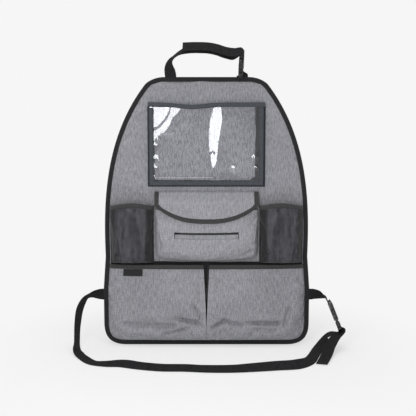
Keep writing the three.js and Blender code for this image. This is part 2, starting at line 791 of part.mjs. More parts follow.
// A strap's way through the plug: under the end bar, round the inner bar and back over the end bar
function plugKnots(frame, width, side) {
  return [
    [frame.at(0, endBarAt + 3, -side * wrapRadius), width],
    ...wrapKnots(frame, width, innerBarAt, side, -1),
    [frame.at(0, endBarAt + 3, side * wrapRadius), width],
  ];
}

// The sewn end, straight and flat inside the rim: outward is the way that it leaves the panel
const rootSteps = [-rootDepth, 0, bindingWall, 3 * bindingWall];
const rootKnots = (edge, outward, width) =>
  rootSteps.map((out) => [edge.clone().addScaledVector(outward, out), width]);
const upward = point(0, 0, 1);
const rightward = point(1, 0, 0);
const leftward = point(-1, 0, 0);

const headrestTab = () => ribbon([
  ...rootKnots(point(headrestRoot, rootY, topZ), upward, rightward),
  [point(headrestRoot, rootY - 1, topZ + 5), point(0.85, 0.35, 0.35)],
  ...tabKnots(headrestBuckle, headrestBuckle.across, -1),
]);

// The headrest strap rises from its root, crosses above the panel and doubles back from the plug
function headrestStrap() {
  const [root, top] = [-headrestRoot, topZ];
  const leaning = point(0, 0.75, 0.66);
  const run = (x, rise, y, width) => [point(x, y, top + rise), width];
  return ribbon([
    ...rootKnots(point(root, rootY, top), upward, leftward),
    run(root - 1.5, 16, -6, point(-0.95, 0.3, 0)),
    run(root - 0.5, 29, -11, point(-0.62, 0.78, 0)),
    run(root + 5, 42, -17, point(-0.15, 0.98, 0.1)),
    run(root + 17, 53, -22, point(0, 0.96, 0.28)),
    run(root + 34, 60, -25, point(0, 0.86, 0.5)),
    run(root + 60, 63.5, -28, leaning),
    run(root + 84, 62.5, -31, leaning),
    run(root + 102, 59, -35, leaning),
    run(root + 120, 53, -40, leaning),
    run(root + 137, 50, -45, leaning),
    [headrestBuckle.at(0, endBarAt + 9, -5.2), leaning],
    ...plugKnots(headrestBuckle, headrestBuckle.across, 1),
    [headrestBuckle.at(0, endBarAt + 11, -1), leaning],
    run(root + 139, 57, -49, leaning),
    run(root + 120, 59.5, -44, leaning),
    run(root + 102, 65, -39, leaning),
    run(root + 84, 68.5, -35, leaning),
    run(root + 56, 69.5, -31.5, leaning),
    run(root + 27, 68.5, -29, leaning),
  ]);
}

const waistTab = () => {
  const [edge, level] = [panelWidth / 2, footZ + waistRoot];
  return ribbon([
    ...rootKnots(point(waistEdge, rootY, level), rightward, upward),
    [point(edge + 15, rootY - 2, level + 1), point(0.05, -0.25, 1)],
    [point(edge + 29, rootY - 9, level + 1), point(0.25, -0.7, 0.65)],
    [point(edge + 40, rootY - 16, level - 3), point(0.1, -0.96, 0.2)],
    ...tabKnots(waistBuckle, waistBuckle.back, -1),
  ]);
};

// Where webbing lies on the ground: lean is the tilt of its width from upright, towards heading
function lying(x, y, lean, heading) {
  const [tilt, turn] = [lean, heading].map((degrees) => (degrees * Math.PI) / 180);
  const width = point(Math.sin(tilt) * Math.cos(turn), Math.sin(tilt) * Math.sin(turn), Math.cos(tilt));
  const edges = (webbing / 2) * Math.abs(Math.cos(tilt)) + (webbingThickness / 2) * Math.abs(Math.sin(tilt));
  return [point(x, y, floorZ + edges + layClearance), width];
}

// The waist strap falls from its root, runs along the ground in front and rises to the plug
function waistStrap() {
  const [edge, level] = [panelWidth / 2, footZ + waistRoot];
  const buckle = waistBuckle;
  return ribbon([
    ...rootKnots(point(-waistEdge, rootY, level), leftward, upward),
    [point(-edge - 14, rootY - 2, level + 1), point(-0.05, -0.25, 1)],
    [point(-edge - 28, rootY - 8, level + 2), point(-0.2, -0.75, 0.65)],
    [point(-edge - 43, -18, level - 4), point(-0.45, -0.88, 0.1)],
    [point(-edge - 56, -28, level - 25), point(-0.54, -0.84, 0)],
    [point(-edge - 61.5, -38, level - 58), point(-0.45, -0.89, 0)],
    [point(-edge - 62.5, -48, level - 88), point(-0.35, -0.94, 0.02)],
    [point(-edge - 61, -62, level - 106), point(-0.35, -0.9, 0.25)],
    lying(-edge - 55, -84, 80, 210),
    lying(-edge - 42, -112, 88, 199),
    lying(-edge - 17, -150, 93, 214),
    lying(-edge + 14, -163, 102, 262),
    lying(-edge + 46, -166, 110, 270),
    lying(-edge + 88, -183, 110, 270),
    lying(-edge + 133, -195, 110, 270),
    lying(-edge + 184, -197, 110, 270),
    lying(-edge + 226, -203, 110, 270),
    lying(edge - 172, -204, 112, 270),
    lying(edge - 130, -199, 118, 270),
    lying(edge - 78, -190, 124, 270),
    lying(edge - 36, -182, 126, 275),
    lying(edge - 8, -152, 112, 308),
    lying(edge + 8, -100, 95, 338),
    lying(edge + 20, -55, 91, 350),
    [point(edge + 33, -22, floorZ + 7), point(0.85, -0.5, 0.1)],
    [point(edge + 47, -12, floorZ + 22), point(0.4, -0.9, 0.15)],
    [buckle.at(0, endBarAt + 13, wrapRadius + 1.5), buckle.back],
    ...plugKnots(buckle, buckle.back, -1),
    [buckle.at(-2, endBarAt + 12, -wrapRadius + 0.6), point(0.35, -0.92, 0.12)],
    [point(edge + 60, -60, floorZ + 33), point(0.75, -0.62, 0)],
    [point(edge + 47, -78, floorZ + 20), point(0.92, -0.36, -0.1)],
    [point(edge + 39, -100, floorZ + 10), point(0.93, -0.34, -0.1)],
    [point(edge + 30, -128, floorZ + 5), point(0.92, -0.38, -0.05)],
    [point(edge + 20, -160, floorZ + 2.6), point(0.9, -0.42, 0)],
  ]);
}

// Side-release buckle, drawn flat: x across, y along, z through
function extruded(shape, thickness) {
  const options = { depth: thickness, bevelEnabled: false, curveSegments: 5 };
  const geometry = new THREE.ExtrudeGeometry(shape, options);
  geometry.translate(0, 0, -thickness / 2);
  return geometry;
}

function socketOutline() {
  const [half, round] = [buckleWidth / 2, buckleRound];
  const middle = (windowStart + windowEnd) / 2;
  const [low, high] = [windowStart - windowEase, windowEnd + windowEase];
  const shape = new THREE.Shape();
  shape.moveTo(-half + round, -socketBar / 2);
  shape.lineTo(half - round, -socketBar / 2);
  shape.quadraticCurveTo(half, -socketBar / 2, half, round);
  shape.lineTo(half, low);
  shape.quadraticCurveTo(half - buckleWaist, middle, half, high);
  shape.lineTo(half, socketEnd - buckleChamfer);
  shape.lineTo(half - buckleChamfer, socketEnd);
  shape.lineTo(-half + buckleChamfer, socketEnd);
  shape.lineTo(-half, socketEnd - buckleChamfer);
  shape.lineTo(-half, high);
  shape.quadraticCurveTo(-half + buckleWaist, middle, -half, low);
  shape.lineTo(-half, round);
  shape.quadraticCurveTo(-half, -socketBar / 2, -half + round, -socketBar / 2);
  return shape;
}

function buckleSocket(frame) {
  const [half, thick] = [buckleWidth / 2, buckleThickness / 2];
  const [slotHalf, cavity, bar] = [webbing / 2 + 1, cavityHeight / 2, barThickness / 2];
  const body = cut(extruded(socketOutline(), buckleThickness), [
    block(-slotHalf, slotHalf, socketBar / 2, socketStart, -thick - 1, thick + 1),
    block(-slotHalf, slotHalf, -socketBar, socketStart, bar, thick + 1),
    block(-slotHalf, slotHalf, -socketBar, socketStart, -thick - 1, -bar),
    block(-half + socketWall, half - socketWall, socketStart + socketWall, socketEnd + 1, -cavity, cavity),
    block(-half - 1, half + 1, windowStart, windowEnd, -cavity, cavity),
  ]);
  return body.applyMatrix4(frame.matrix);
}

// One sprung prong, with the lug that shows in the socket's side window
function prong(side) {
  const inner = buckleWidth / 2 - socketWall - seam - prongWidth;
  const [outer, lug] = [inner + prongWidth, buckleWidth / 2 + lugProud];
  const [root, tip, catchAt] = [socketEnd + seam + 1, windowStart - 2.2, windowEnd - seam];
  const slope = windowStart + 0.4 * (windowEnd - windowStart);
  const corners = [
    [inner, root], [outer, root], [outer, catchAt], [lug, catchAt], [lug, slope],
    [outer, windowStart + seam], [outer - prongTaper, tip], [inner - 0.6, tip], [inner - 0.4, slope],
  ];
  const shape = new THREE.Shape(corners.map(([x, y]) => new THREE.Vector2(side * x, y)));
  return extruded(shape, prongThickness);
}

function plugOutline() {
  const [half, round] = [buckleWidth / 2, buckleRound];
  const [start, end] = [socketEnd + seam, endBarAt + plugBar / 2];
  const shape = new THREE.Shape();
  shape.moveTo(-half, start);
  shape.lineTo(half, start);
  shape.lineTo(half, end - round);
  shape.quadraticCurveTo(half, end, half - round, end);
  shape.lineTo(-half + round, end);
  shape.quadraticCurveTo(-half, end, -half, end - round);
  return shape;
}

function bucklePlug(frame) {
  const [half, thick] = [buckleWidth / 2, buckleThickness / 2];
  const [tongue, thin] = [tongueWidth / 2, prongThickness / 2];
  const [start, end] = [socketEnd + seam, endBarAt + plugBar / 2];
  const rails = start + shoulderLength;
  const [inside, bar, clear] = [half - railWidth, barThickness / 2, railThickness];
  const [innerEdge, slotEnd] = [innerBarAt - plugBar / 2, endBarAt - plugBar / 2];
  const body = join([
    extruded(plugOutline(), railThickness),
    block(-half, half, start, rails, -thick, thick),
    prong(1),
    prong(-1),
    block(-tongue, tongue, windowStart + tongueFromWindow, start + 1, -thin, thin),
  ]);
  const open = cut(body, [
    block(-inside, inside, rails, innerEdge, -clear, clear),
    block(-inside, inside, innerEdge + plugBar, slotEnd, -clear, clear),
    block(-inside, inside, rails, end + 1, bar, clear),
    block(-inside, inside, rails, end + 1, -clear, -bar),
  ]);
  return open.applyMatrix4(frame.matrix);
}

// The organizer
const organizer = new THREE.Group();

function place(name, geometry, finish) {
  const mesh = new THREE.Mesh(geometry, new THREE.MeshStandardMaterial({ metalness: 0, ...finish }));
  mesh.name = name;
  organizer.add(mesh);
}

function placePanel() {
  place('front_panel', frontPanel(), finishes.heather);
  place('back_lining', backLining(), finishes.felt);
  place('edge_binding', edgeBinding(), finishes.tape);
}

function placeTablet() {
  place('tablet_window', sheet(filmSurface, filmColumns, filmRows, filmThickness), finishes.film);
  place('tablet_gusset', tabletGusset(), finishes.blackCloth);
  place('tablet_side_binding', tabletSideBinding(), finishes.frameTape);
  place('tablet_top_binding', tabletTopBinding(), finishes.frameTape);
}

function placeTissue() {
  place('tissue_pocket', tissuePocket(), finishes.flapHeather);
  place('pocket_flap', sheet(flapSurface, flapColumns, flapRows, flapCloth), finishes.flapHeather);
  place('flap_binding', flapBinding(), finishes.tape);
  place('loop_tape', loopTape(), finishes.blackCloth);
  place('hook_tape', hookTape(), finishes.blackCloth);
}

// The two sides differ only in how their cloth lies
const sidePhases = [['left', 0], ['right', 1.9]];

function placePairs() {
  for (const [side, phase] of sidePhases) {
    const turn = side === 'left' ? (geometry) => geometry : mirrored;
    const [lower, mesh] = [lowerSurface(phase), meshSurface(phase)];
    place(`${side}_lower_pocket`, turn(sheet(lower, lowerColumns, lowerRows, lowerCloth)), finishes.heather);
    const lowerTape = foldedTape(lower, topStations(lowerColumns, tapeV), lowerCloth, bindingWall);
    place(`${side}_lower_binding`, turn(lowerTape), finishes.tape);
    place(`${side}_centre_gusset`, turn(centreGusset(lower)), finishes.blackCloth);
    place(`${side}_mesh_pocket`, turn(sheet(mesh, meshColumns, meshRows, meshCloth)), finishes.mesh);
    const meshTape = foldedTape(mesh, topStations(meshColumns, meshTapeV), meshCloth, bindingWall);
    place(`${side}_mesh_binding`, turn(meshTape), finishes.tape);
  }
  place('label_loop', labelLoop(lowerSurface(sidePhases[0][1])), finishes.label);
}

function placeStraps() {
  place('headrest_strap', headrestStrap(), finishes.webbing);
  place('headrest_tab', headrestTab(), finishes.webbing);
  place('headrest_socket', buckleSocket(headrestBuckle), finishes.plastic);
  place('headrest_plug', bucklePlug(headrestBuckle), finishes.plastic);
  place('waist_strap', waistStrap(), finishes.webbing);
  place('waist_tab', waistTab(), finishes.webbing);
  place('waist_socket', buckleSocket(waistBuckle), finishes.plastic);
  place('waist_plug', bucklePlug(waistBuckle), finishes.plastic);
}

placePanel();
placeTablet();
placeTissue();
placePairs();
placeStraps();

export default organizer;
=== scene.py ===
# Car seat back organizer, dressed: cloth, tape, film, mesh, webbing and moulded buckles over the fixed frame.
import math

import bmesh
import bpy
import numpy as np
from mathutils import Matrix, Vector


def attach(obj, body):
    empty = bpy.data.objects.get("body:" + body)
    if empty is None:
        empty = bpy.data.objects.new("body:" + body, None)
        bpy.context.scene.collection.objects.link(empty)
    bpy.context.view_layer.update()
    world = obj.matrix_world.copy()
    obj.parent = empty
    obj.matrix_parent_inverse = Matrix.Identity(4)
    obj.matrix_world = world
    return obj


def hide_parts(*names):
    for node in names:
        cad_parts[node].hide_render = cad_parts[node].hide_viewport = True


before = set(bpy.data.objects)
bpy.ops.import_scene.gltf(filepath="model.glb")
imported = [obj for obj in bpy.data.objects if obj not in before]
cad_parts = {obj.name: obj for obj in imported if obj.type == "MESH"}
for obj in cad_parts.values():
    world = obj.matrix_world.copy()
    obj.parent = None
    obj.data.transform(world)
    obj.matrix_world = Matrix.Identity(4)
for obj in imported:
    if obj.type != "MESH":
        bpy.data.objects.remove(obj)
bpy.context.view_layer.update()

# Sizes are in millimetres, as the construction has them, and meshes are built in metres
MM = 0.001
SEAM = 0.3

PANEL_WIDTH = 458
PANEL_HEIGHT = 608
FOOT_RADIUS = 50
FOOT_TIGHTNESS = 0.3
FOOT_FLARE = 3.6
FLARE_HEIGHT = 130
WAIST_INSET = 2
WAIST_HEIGHT = 205
SHOULDER_SWELL = 3
SHOULDER_HANDLE = 110
CROWN_HALF_WIDTH = 135
CROWN_DROP = 16
CROWN_FLAT_HALF = 94
CROWN_HANDLE = 123
CROWN_TURN = (9, 10)
CROWN_EASE = 14
FACE_CORE = 2.8
FACE_RIM = 2.0
LINING_CORE = 1.7
LINING_RIM = 0.5
CLOTH_INSET = 2.5

TAPE_THICKNESS = 0.9
EDGE_TAPE_REACH = 9
EDGE_SEAM_IN = 1.6
POCKET_TAPE_REACH = 8.5
FOLD_GAP = 0.55
SEWN_GAP = 0.12
THREAD_LIFT = 0.15

LOWER_FOOT = 11
LOWER_HEIGHT = 177
LOWER_DEPTH = 27
LOWER_MOUTH = 17
LOWER_CLOTH = 1.2
LOWER_GAP_TOP = 14
# Closer than in the frame, because the two cloths touch at their foot
LOWER_GAP_FOOT = 0.5
LOWER_SQUARENESS = 2.5
LOWER_FOOT_SHARE = 0.16
GATHER_HEIGHT = 1.6
GATHER_PITCH = 13

LABEL_WIDTH = 43
LABEL_HEIGHT = 16
LABEL_THICKNESS = 0.8
LABEL_INSET = 31

ROW_FOOT = 192
TISSUE_WIDTH = 230
TISSUE_HEIGHT = 122
TISSUE_DEPTH = 25
TISSUE_MOUTH = 15
TISSUE_CLOTH = 1.2
TISSUE_BELLY = 9
TISSUE_SQUARENESS = 5
TISSUE_FOOT_SHARE = 0.16
TISSUE_FOOT_RISE = 4
TISSUE_FOOT_TAPER = 4
SLOT_WIDTH = 143
SLOT_HEIGHT = 15
SLOT_FROM_FOOT = 57
SLIT_HEIGHT = 5.2
LIP_LAP = 2
LIP_SINK = 0.35
LIP_LEAN = 2.6

FLAP_SIDE_DROP = 30
FLAP_CENTRE_DROP = 68
FLAP_SEAM = 354
FLAP_OVERHANG = 1.5
FLAP_WIDTH = TISSUE_WIDTH + 2 * FLAP_OVERHANG
FLAP_CLOTH = 1.2
FLAP_FALL = 26
FLAP_EASE = 1.5
HOOK_TAPE_WIDTH = 70
HOOK_TAPE_HEIGHT = 14
HOOK_TAPE_RISE = 3
HOOK_TAPE_THICKNESS = 1.1

MESH_GAP = 4
MESH_HEIGHT = 130
MESH_ARCH = 9
MESH_DEPTH = 38
MESH_MOUTH = 31
MESH_CLOTH = 1.0
MESH_NET = 0.3
MESH_SQUARENESS = 2.5
MESH_FOOT_SHARE = 0.15
MESH_FOLD = 2.5

TABLET_WIDTH = 262
TABLET_HEIGHT = 188
TABLET_FOOT = 365
TABLET_DEPTH = 9
TABLET_FLANGE = 4
TABLET_INSET = 1.5
FILM_THICKNESS = 0.5
FILM_DIP = 5
GUSSET_CLOTH = 0.8
GUSSET_LEDGE = 5
TOP_TAPE_PAST = 4

WEBBING = 25
WEBBING_THICKNESS = 1.4
ROOT_DEPTH = 8
LAY_CLEARANCE = 1
TAB_LAP = 6
TAB_TAIL = 9.5
HEADREST_ROOT = 79
WAIST_ROOT = 117
BAR_THICKNESS = 3.6
SOCKET_BAR = 4
INNER_BAR_AT = 45.5
END_BAR_AT = 54

CAMERA_PITCH = 10
CAMERA_AWAY = 2600
CAMERA_AIM = (3.4, 0, 11.6)
CAMERA_LENS = 100
CAMERA_SENSOR = 36

# Derived places
FOOT_Z = -PANEL_HEIGHT / 2
TOP_Z = PANEL_HEIGHT / 2
FRONT_Y = -(LINING_CORE + FACE_CORE)
BINDING_WALL = TAPE_THICKNESS + SEAM
RIM_BACK_Y = -(LINING_CORE - LINING_RIM)
RIM_FRONT_Y = -(LINING_CORE + FACE_RIM)
POCKET_INSET = EDGE_TAPE_REACH + BINDING_WALL + 2 * SEAM
ROOT_Y = -(LINING_CORE + FACE_RIM / 2)
FLOOR_Z = FOOT_Z - BINDING_WALL
HOOK_STACK = 3 * SEAM + 2 * HOOK_TAPE_THICKNESS


# Plain mathematics on arrays

def point(x, y, z):
    return np.stack(np.broadcast_arrays(x, y, z), axis=-1).astype(float)


def on_front(x, height, z):
    return point(x, FRONT_Y - height, z)


def on_line(line, y):
    """Points along a line of x and z, at y."""
    return point(line[:, 0], y, line[:, 1])


def mix(a, b, share):
    return a + (b - a) * share


def smooth(t):
    s = np.clip(t, 0, 1)
    return s * s * (3 - 2 * s)


def bump(t, centre, spread):
    return np.exp(-(((t - centre) / spread) ** 2))


def super_rise(t, power):
    return (1 - np.clip(np.abs(t), 0, 1) ** power) ** (1 / power)


def evened(t, power):
    return np.sign(t) * np.abs(t) ** power


def unit(vectors):
    return vectors / np.maximum(np.linalg.norm(vectors, axis=-1, keepdims=True), 1e-12)


def waves(x, z, size, seed, count=7):
    """A smooth uneven height from -1 to 1, with swells about size wide."""
    draw = np.random.default_rng(seed)
    total = np.zeros(np.broadcast(x, z).shape)
    for _ in range(count):
        turn, phase = draw.uniform(0, 2 * math.pi, 2)
        pitch = size * draw.uniform(0.7, 1.6)
        total = total + np.sin((x * math.cos(turn) + z * math.sin(turn)) * 2 * math.pi / pitch + phase)
    return total / math.sqrt(count) * 0.7


def along_lengths(points, axis):
    """The length from the first point to each, along one axis of a grid of points."""
    steps = np.linalg.norm(np.diff(points, axis=axis), axis=-1)
    pad = [(0, 0), (0, 0)]
    pad[axis] = (1, 0)
    return np.cumsum(np.pad(steps, pad), axis=axis)


# The panel's outline, as points and outward normals, anticlockwise from the middle of the foot

def bezier(ends, count):
    p = [np.array(q, float) for q in ends]
    t = np.linspace(0, 1, count + 1)[:, None]
    return ((1 - t) ** 3 * p[0] + 3 * (1 - t) ** 2 * t * p[1] + 3 * (1 - t) * t**2 * p[2] + t**3 * p[3])


def resampled(line, count):
    """The same line with count even steps."""
    lengths = np.concatenate([[0], np.cumsum(np.linalg.norm(np.diff(line, axis=0), axis=1))])
    wanted = np.linspace(0, lengths[-1], count + 1)
    return np.stack([np.interp(wanted, lengths, line[:, i]) for i in range(line.shape[1])], axis=1)


def panel_outline(count):
    foot, waist = PANEL_WIDTH / 2 + FOOT_FLARE, PANEL_WIDTH / 2 - WAIST_INSET
    rounding, swell = FOOT_TIGHTNESS * FOOT_RADIUS, waist + SHOULDER_SWELL
    narrow, crown = FOOT_Z + WAIST_HEIGHT, TOP_Z - CROWN_DROP
    right = np.concatenate([
        [(0, FOOT_Z)],
        bezier([(foot - FOOT_RADIUS, FOOT_Z), (foot - rounding, FOOT_Z), (foot, FOOT_Z + rounding),
                (foot, FOOT_Z + FOOT_RADIUS)], 24),
        [(foot, FOOT_Z + FLARE_HEIGHT)],
        bezier([(waist, narrow), (swell, narrow + SHOULDER_HANDLE), (swell, crown - CROWN_HANDLE),
                (CROWN_HALF_WIDTH, crown)], 60),
        bezier([(CROWN_HALF_WIDTH, crown), (CROWN_HALF_WIDTH - CROWN_TURN[0], crown + CROWN_TURN[1]),
                (CROWN_FLAT_HALF + CROWN_EASE, TOP_Z), (CROWN_FLAT_HALF, TOP_Z)], 20)[1:],
        [(0, TOP_Z)],
    ])
    left = right[::-1][1:] * [-1, 1]
    return resampled(np.concatenate([right, left]), count)


OUTLINE = panel_outline(480)[:-1]


def outline_normals():
    ahead = np.roll(OUTLINE, -1, axis=0) - np.roll(OUTLINE, 1, axis=0)
    return unit(np.stack([ahead[:, 1], -ahead[:, 0]], axis=1))


OUTLINE_NORMALS = outline_normals()


def half_width_at(z, inset):
    """Half the panel's width at a height, to a line that lies inset from its edge."""
    line = (OUTLINE - OUTLINE_NORMALS * inset)[: len(OUTLINE) // 2]
    rising = line[:, 1] + 1e-6 * np.arange(len(line))
    keep = line[:, 0] > CROWN_FLAT_HALF * 0.5
    return np.interp(z, rising[keep], line[keep, 0])


WAIST_EDGE = float(half_width_at(FOOT_Z + WAIST_ROOT, 0))
# The panel's sides lean a little, so a distance along x counts for less than one square to the edge
SIDE_LEAN = 0.94


# Meshes

def deselect():
    for thing in list(bpy.context.selected_objects):
        thing.select_set(False)


def only(thing):
    deselect()
    thing.select_set(True)
    bpy.context.view_layer.objects.active = thing


def finish_modifier(thing, kind, **settings):
    """Adds a modifier with its settings and applies it."""
    only(thing)
    modifier = thing.modifiers.new(kind.title(), kind)
    for key, value in settings.items():
        setattr(modifier, key, value)
    bpy.ops.object.modifier_apply(modifier=modifier.name)


def places_of(piece):
    """Where a piece's vertices lie, in metres."""
    flat = np.empty(len(piece.data.vertices) * 3)
    piece.data.vertices.foreach_get("co", flat)
    return flat.reshape(-1, 3)


def move_to(piece, places):
    piece.data.vertices.foreach_set("co", places.ravel())
    piece.data.update()


def grid_piece(name, points, closed=False, uv=None):
    """A sheet made from a plain grid: points[row][column], in millimetres. Its UV map is the cloth's own
    length across and along. closed joins its last row to its first."""
    rows, columns = points.shape[0] - 1, points.shape[1] - 1
    deselect()
    bpy.ops.mesh.primitive_grid_add(x_subdivisions=columns, y_subdivisions=rows, size=1, calc_uvs=True)
    piece = bpy.context.object
    piece.name = piece.data.name = name
    mesh = piece.data
    flat = places_of(piece)
    column = np.rint((flat[:, 0] + 0.5) * columns).astype(int)
    row = np.rint((flat[:, 1] + 0.5) * rows).astype(int)
    if uv is None:
        across, along = along_lengths(points, 1), along_lengths(points, 0)
        uv = np.stack([across - across[:, columns // 2 : columns // 2 + 1], along], axis=-1)
    corner_vertex = np.empty(len(mesh.loops), int)
    mesh.loops.foreach_get("vertex_index", corner_vertex)
    on_sheet = uv[row, column] * MM
    mesh.uv_layers[0].data.foreach_set("uv", on_sheet[corner_vertex].astype(np.float32).ravel())
    move_to(piece, points[row, column] * MM)
    if closed:
        merge_doubles(piece)
    return piece


def vertex_flags(piece, points, flags):
    """Flags given on a grid of points, for the vertices of the piece made from it, matched by place."""
    flag_at = {tuple(np.round(p, 4)): bool(f) for p, f in zip(points.reshape(-1, 3), flags.ravel())}
    return [flag_at.get(tuple(np.round(p, 4)), False) for p in places_of(piece) / MM]


def keep_in_front(piece, y):
    places = places_of(piece)
    places[:, 1] = np.minimum(places[:, 1], y * MM)
    move_to(piece, places)


def mirror_points(points):
    return points * [-1, 1, 1]


def mirror_piece(piece):
    for vertex in piece.data.vertices:
        vertex.co.x = -vertex.co.x
    piece.data.flip_normals()


def merge_doubles(piece, within=0.00002):
    work = bmesh.new()
    work.from_mesh(piece.data)
    bmesh.ops.remove_doubles(work, verts=work.verts, dist=within)
    work.to_mesh(piece.data)
    work.free()


def face_outward(piece, towards):
    """Turns the faces of an open sheet so that most of them look along towards."""
    mesh = piece.data
    normals = np.empty(len(mesh.polygons) * 3)
    mesh.polygons.foreach_get("normal", normals)
    if (normals.reshape(-1, 3) @ np.array(towards, float)).sum() < 0:
        mesh.flip_normals()


def thicken(piece, thickness, offset=-1.0):
    finish_modifier(piece, "SOLIDIFY", thickness=thickness * MM, offset=offset, use_even_offset=False)


def shade(piece, degrees=40):
    only(piece)
    bpy.ops.object.shade_smooth_by_angle(angle=math.radians(degrees))


def dress(piece, material, slot, *nodes):
    """Gives a piece its material and its place in the frame."""
    piece.data.materials.clear()
    piece.data.materials.append(material)
    if nodes:
        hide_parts(*nodes)
    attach(piece, "root")
    return piece


def finish_sheet(piece, thickness, material, slot, *nodes, offset=-1.0, crisp=40):
    """Gives a sheet its thickness, shading and material. An edge sharper than crisp degrees stays sharp."""
    thicken(piece, thickness, offset)
    shade(piece, crisp)
    return dress(piece, material, slot, *nodes)


def skin(surface, u, v, lift):
    """Points of a surface, lifted along its normal and kept in front of the panel."""
    step = 1e-3
    a, b = np.clip(u, step, 1 - step), np.clip(v, step, 1 - step)
    across, along = surface(a + step, b) - surface(a - step, b), surface(a, b + step) - surface(a, b - step)
    normal = unit(np.cross(across, along))
    lifted = surface(u, v) + normal * np.asarray(lift)[..., None]
    lifted[..., 1] = np.minimum(lifted[..., 1], FRONT_Y - SEAM)
    return lifted


def settle(piece, held, slack, frames, cap, pressure=0.0, stiffness=12.0, bending=0.4):
    """Lets a sheet crumple by itself: held vertices stay, the cloth between them has slack to spare, and no
    point moves further than cap. held is one flag for each vertex."""
    before = places_of(piece)
    group = piece.vertex_groups.new(name="held")
    group.add([int(i) for i in np.flatnonzero(held)], 1.0, "REPLACE")
    only(piece)
    modifier = piece.modifiers.new("Cloth", "CLOTH")
    cloth = modifier.settings
    cloth.quality = 6
    cloth.mass = 0.3
    cloth.tension_stiffness = stiffness
    cloth.compression_stiffness = stiffness
    cloth.shear_stiffness = stiffness / 2
    cloth.bending_stiffness = bending
    cloth.vertex_group_mass = group.name
    cloth.shrink_min = -slack
    cloth.shrink_max = -slack
    cloth.use_pressure = pressure != 0.0
    cloth.uniform_pressure_force = pressure
    cloth.effector_weights.gravity = 0
    modifier.collision_settings.use_collision = False
    modifier.point_cache.frame_start = 1
    modifier.point_cache.frame_end = frames
    scene = bpy.context.scene
    for number in range(1, frames + 1):
        scene.frame_set(number)
    bpy.ops.object.modifier_apply(modifier=modifier.name)
    scene.frame_set(1)
    move = places_of(piece) - before
    length = np.linalg.norm(move, axis=1, keepdims=True)
    limit = cap * MM
    move *= limit * np.tanh(length / limit) / np.maximum(length, 1e-12)
    move_to(piece, before + move)
    piece.vertex_groups.clear()


# Materials

def linear(colour):
    """An sRGB hex colour as the linear one that shaders take."""
    parts = [int(colour[i : i + 2], 16) / 255 for i in (1, 3, 5)]
    return tuple(c / 12.92 if c <= 0.04045 else ((c + 0.055) / 1.055) ** 2.4 for c in parts) + (1.0,)


def add(tree, kind, inputs=None, **settings):
    """Adds a node, sets its properties, and sets or links its inputs."""
    made = tree.nodes.new(kind)
    for key, value in settings.items():
        setattr(made, key, value)
    for key, value in (inputs or {}).items():
        socket = made.inputs[key]
        if isinstance(value, bpy.types.NodeSocket):
            tree.links.new(value, socket)
        else:
            socket.default_value = value
    return made


def new_material(name):
    material = bpy.data.materials.new(name)
    material.use_nodes = True
    tree = material.node_tree
    tree.nodes.clear()
    return material, tree


def film_cover(tree):
    """One where the clear film lies over the panel, and nothing elsewhere, with a soft edge between."""
    half, fade = TABLET_WIDTH / 2 - 16, 6
    foot, top = FOOT_Z + TABLET_FOOT + 12, FOOT_Z + TABLET_FOOT + TABLET_HEIGHT - 6
    place = add(tree, "ShaderNodeTexCoord").outputs["Object"]
    split = add(tree, "ShaderNodeSeparateXYZ", {0: place})
    height = split.outputs["Z"]
    sideways = add(tree, "ShaderNodeMath", {0: split.outputs["X"]}, operation="ABSOLUTE")
    across = add(tree, "ShaderNodeMapRange", {0: sideways.outputs[0], 1: half * MM, 2: (half - fade) * MM})
    above = add(tree, "ShaderNodeMapRange", {0: height, 1: foot * MM, 2: (foot + fade) * MM})
    below = add(tree, "ShaderNodeMapRange", {0: height, 1: top * MM, 2: (top - fade) * MM})
    between = add(tree, "ShaderNodeMath", {0: above.outputs[0], 1: below.outputs[0]}, operation="MULTIPLY")
    inside = add(tree, "ShaderNodeMath", {0: across.outputs[0], 1: between.outputs[0]}, operation="MULTIPLY")
    return inside.outputs[0]


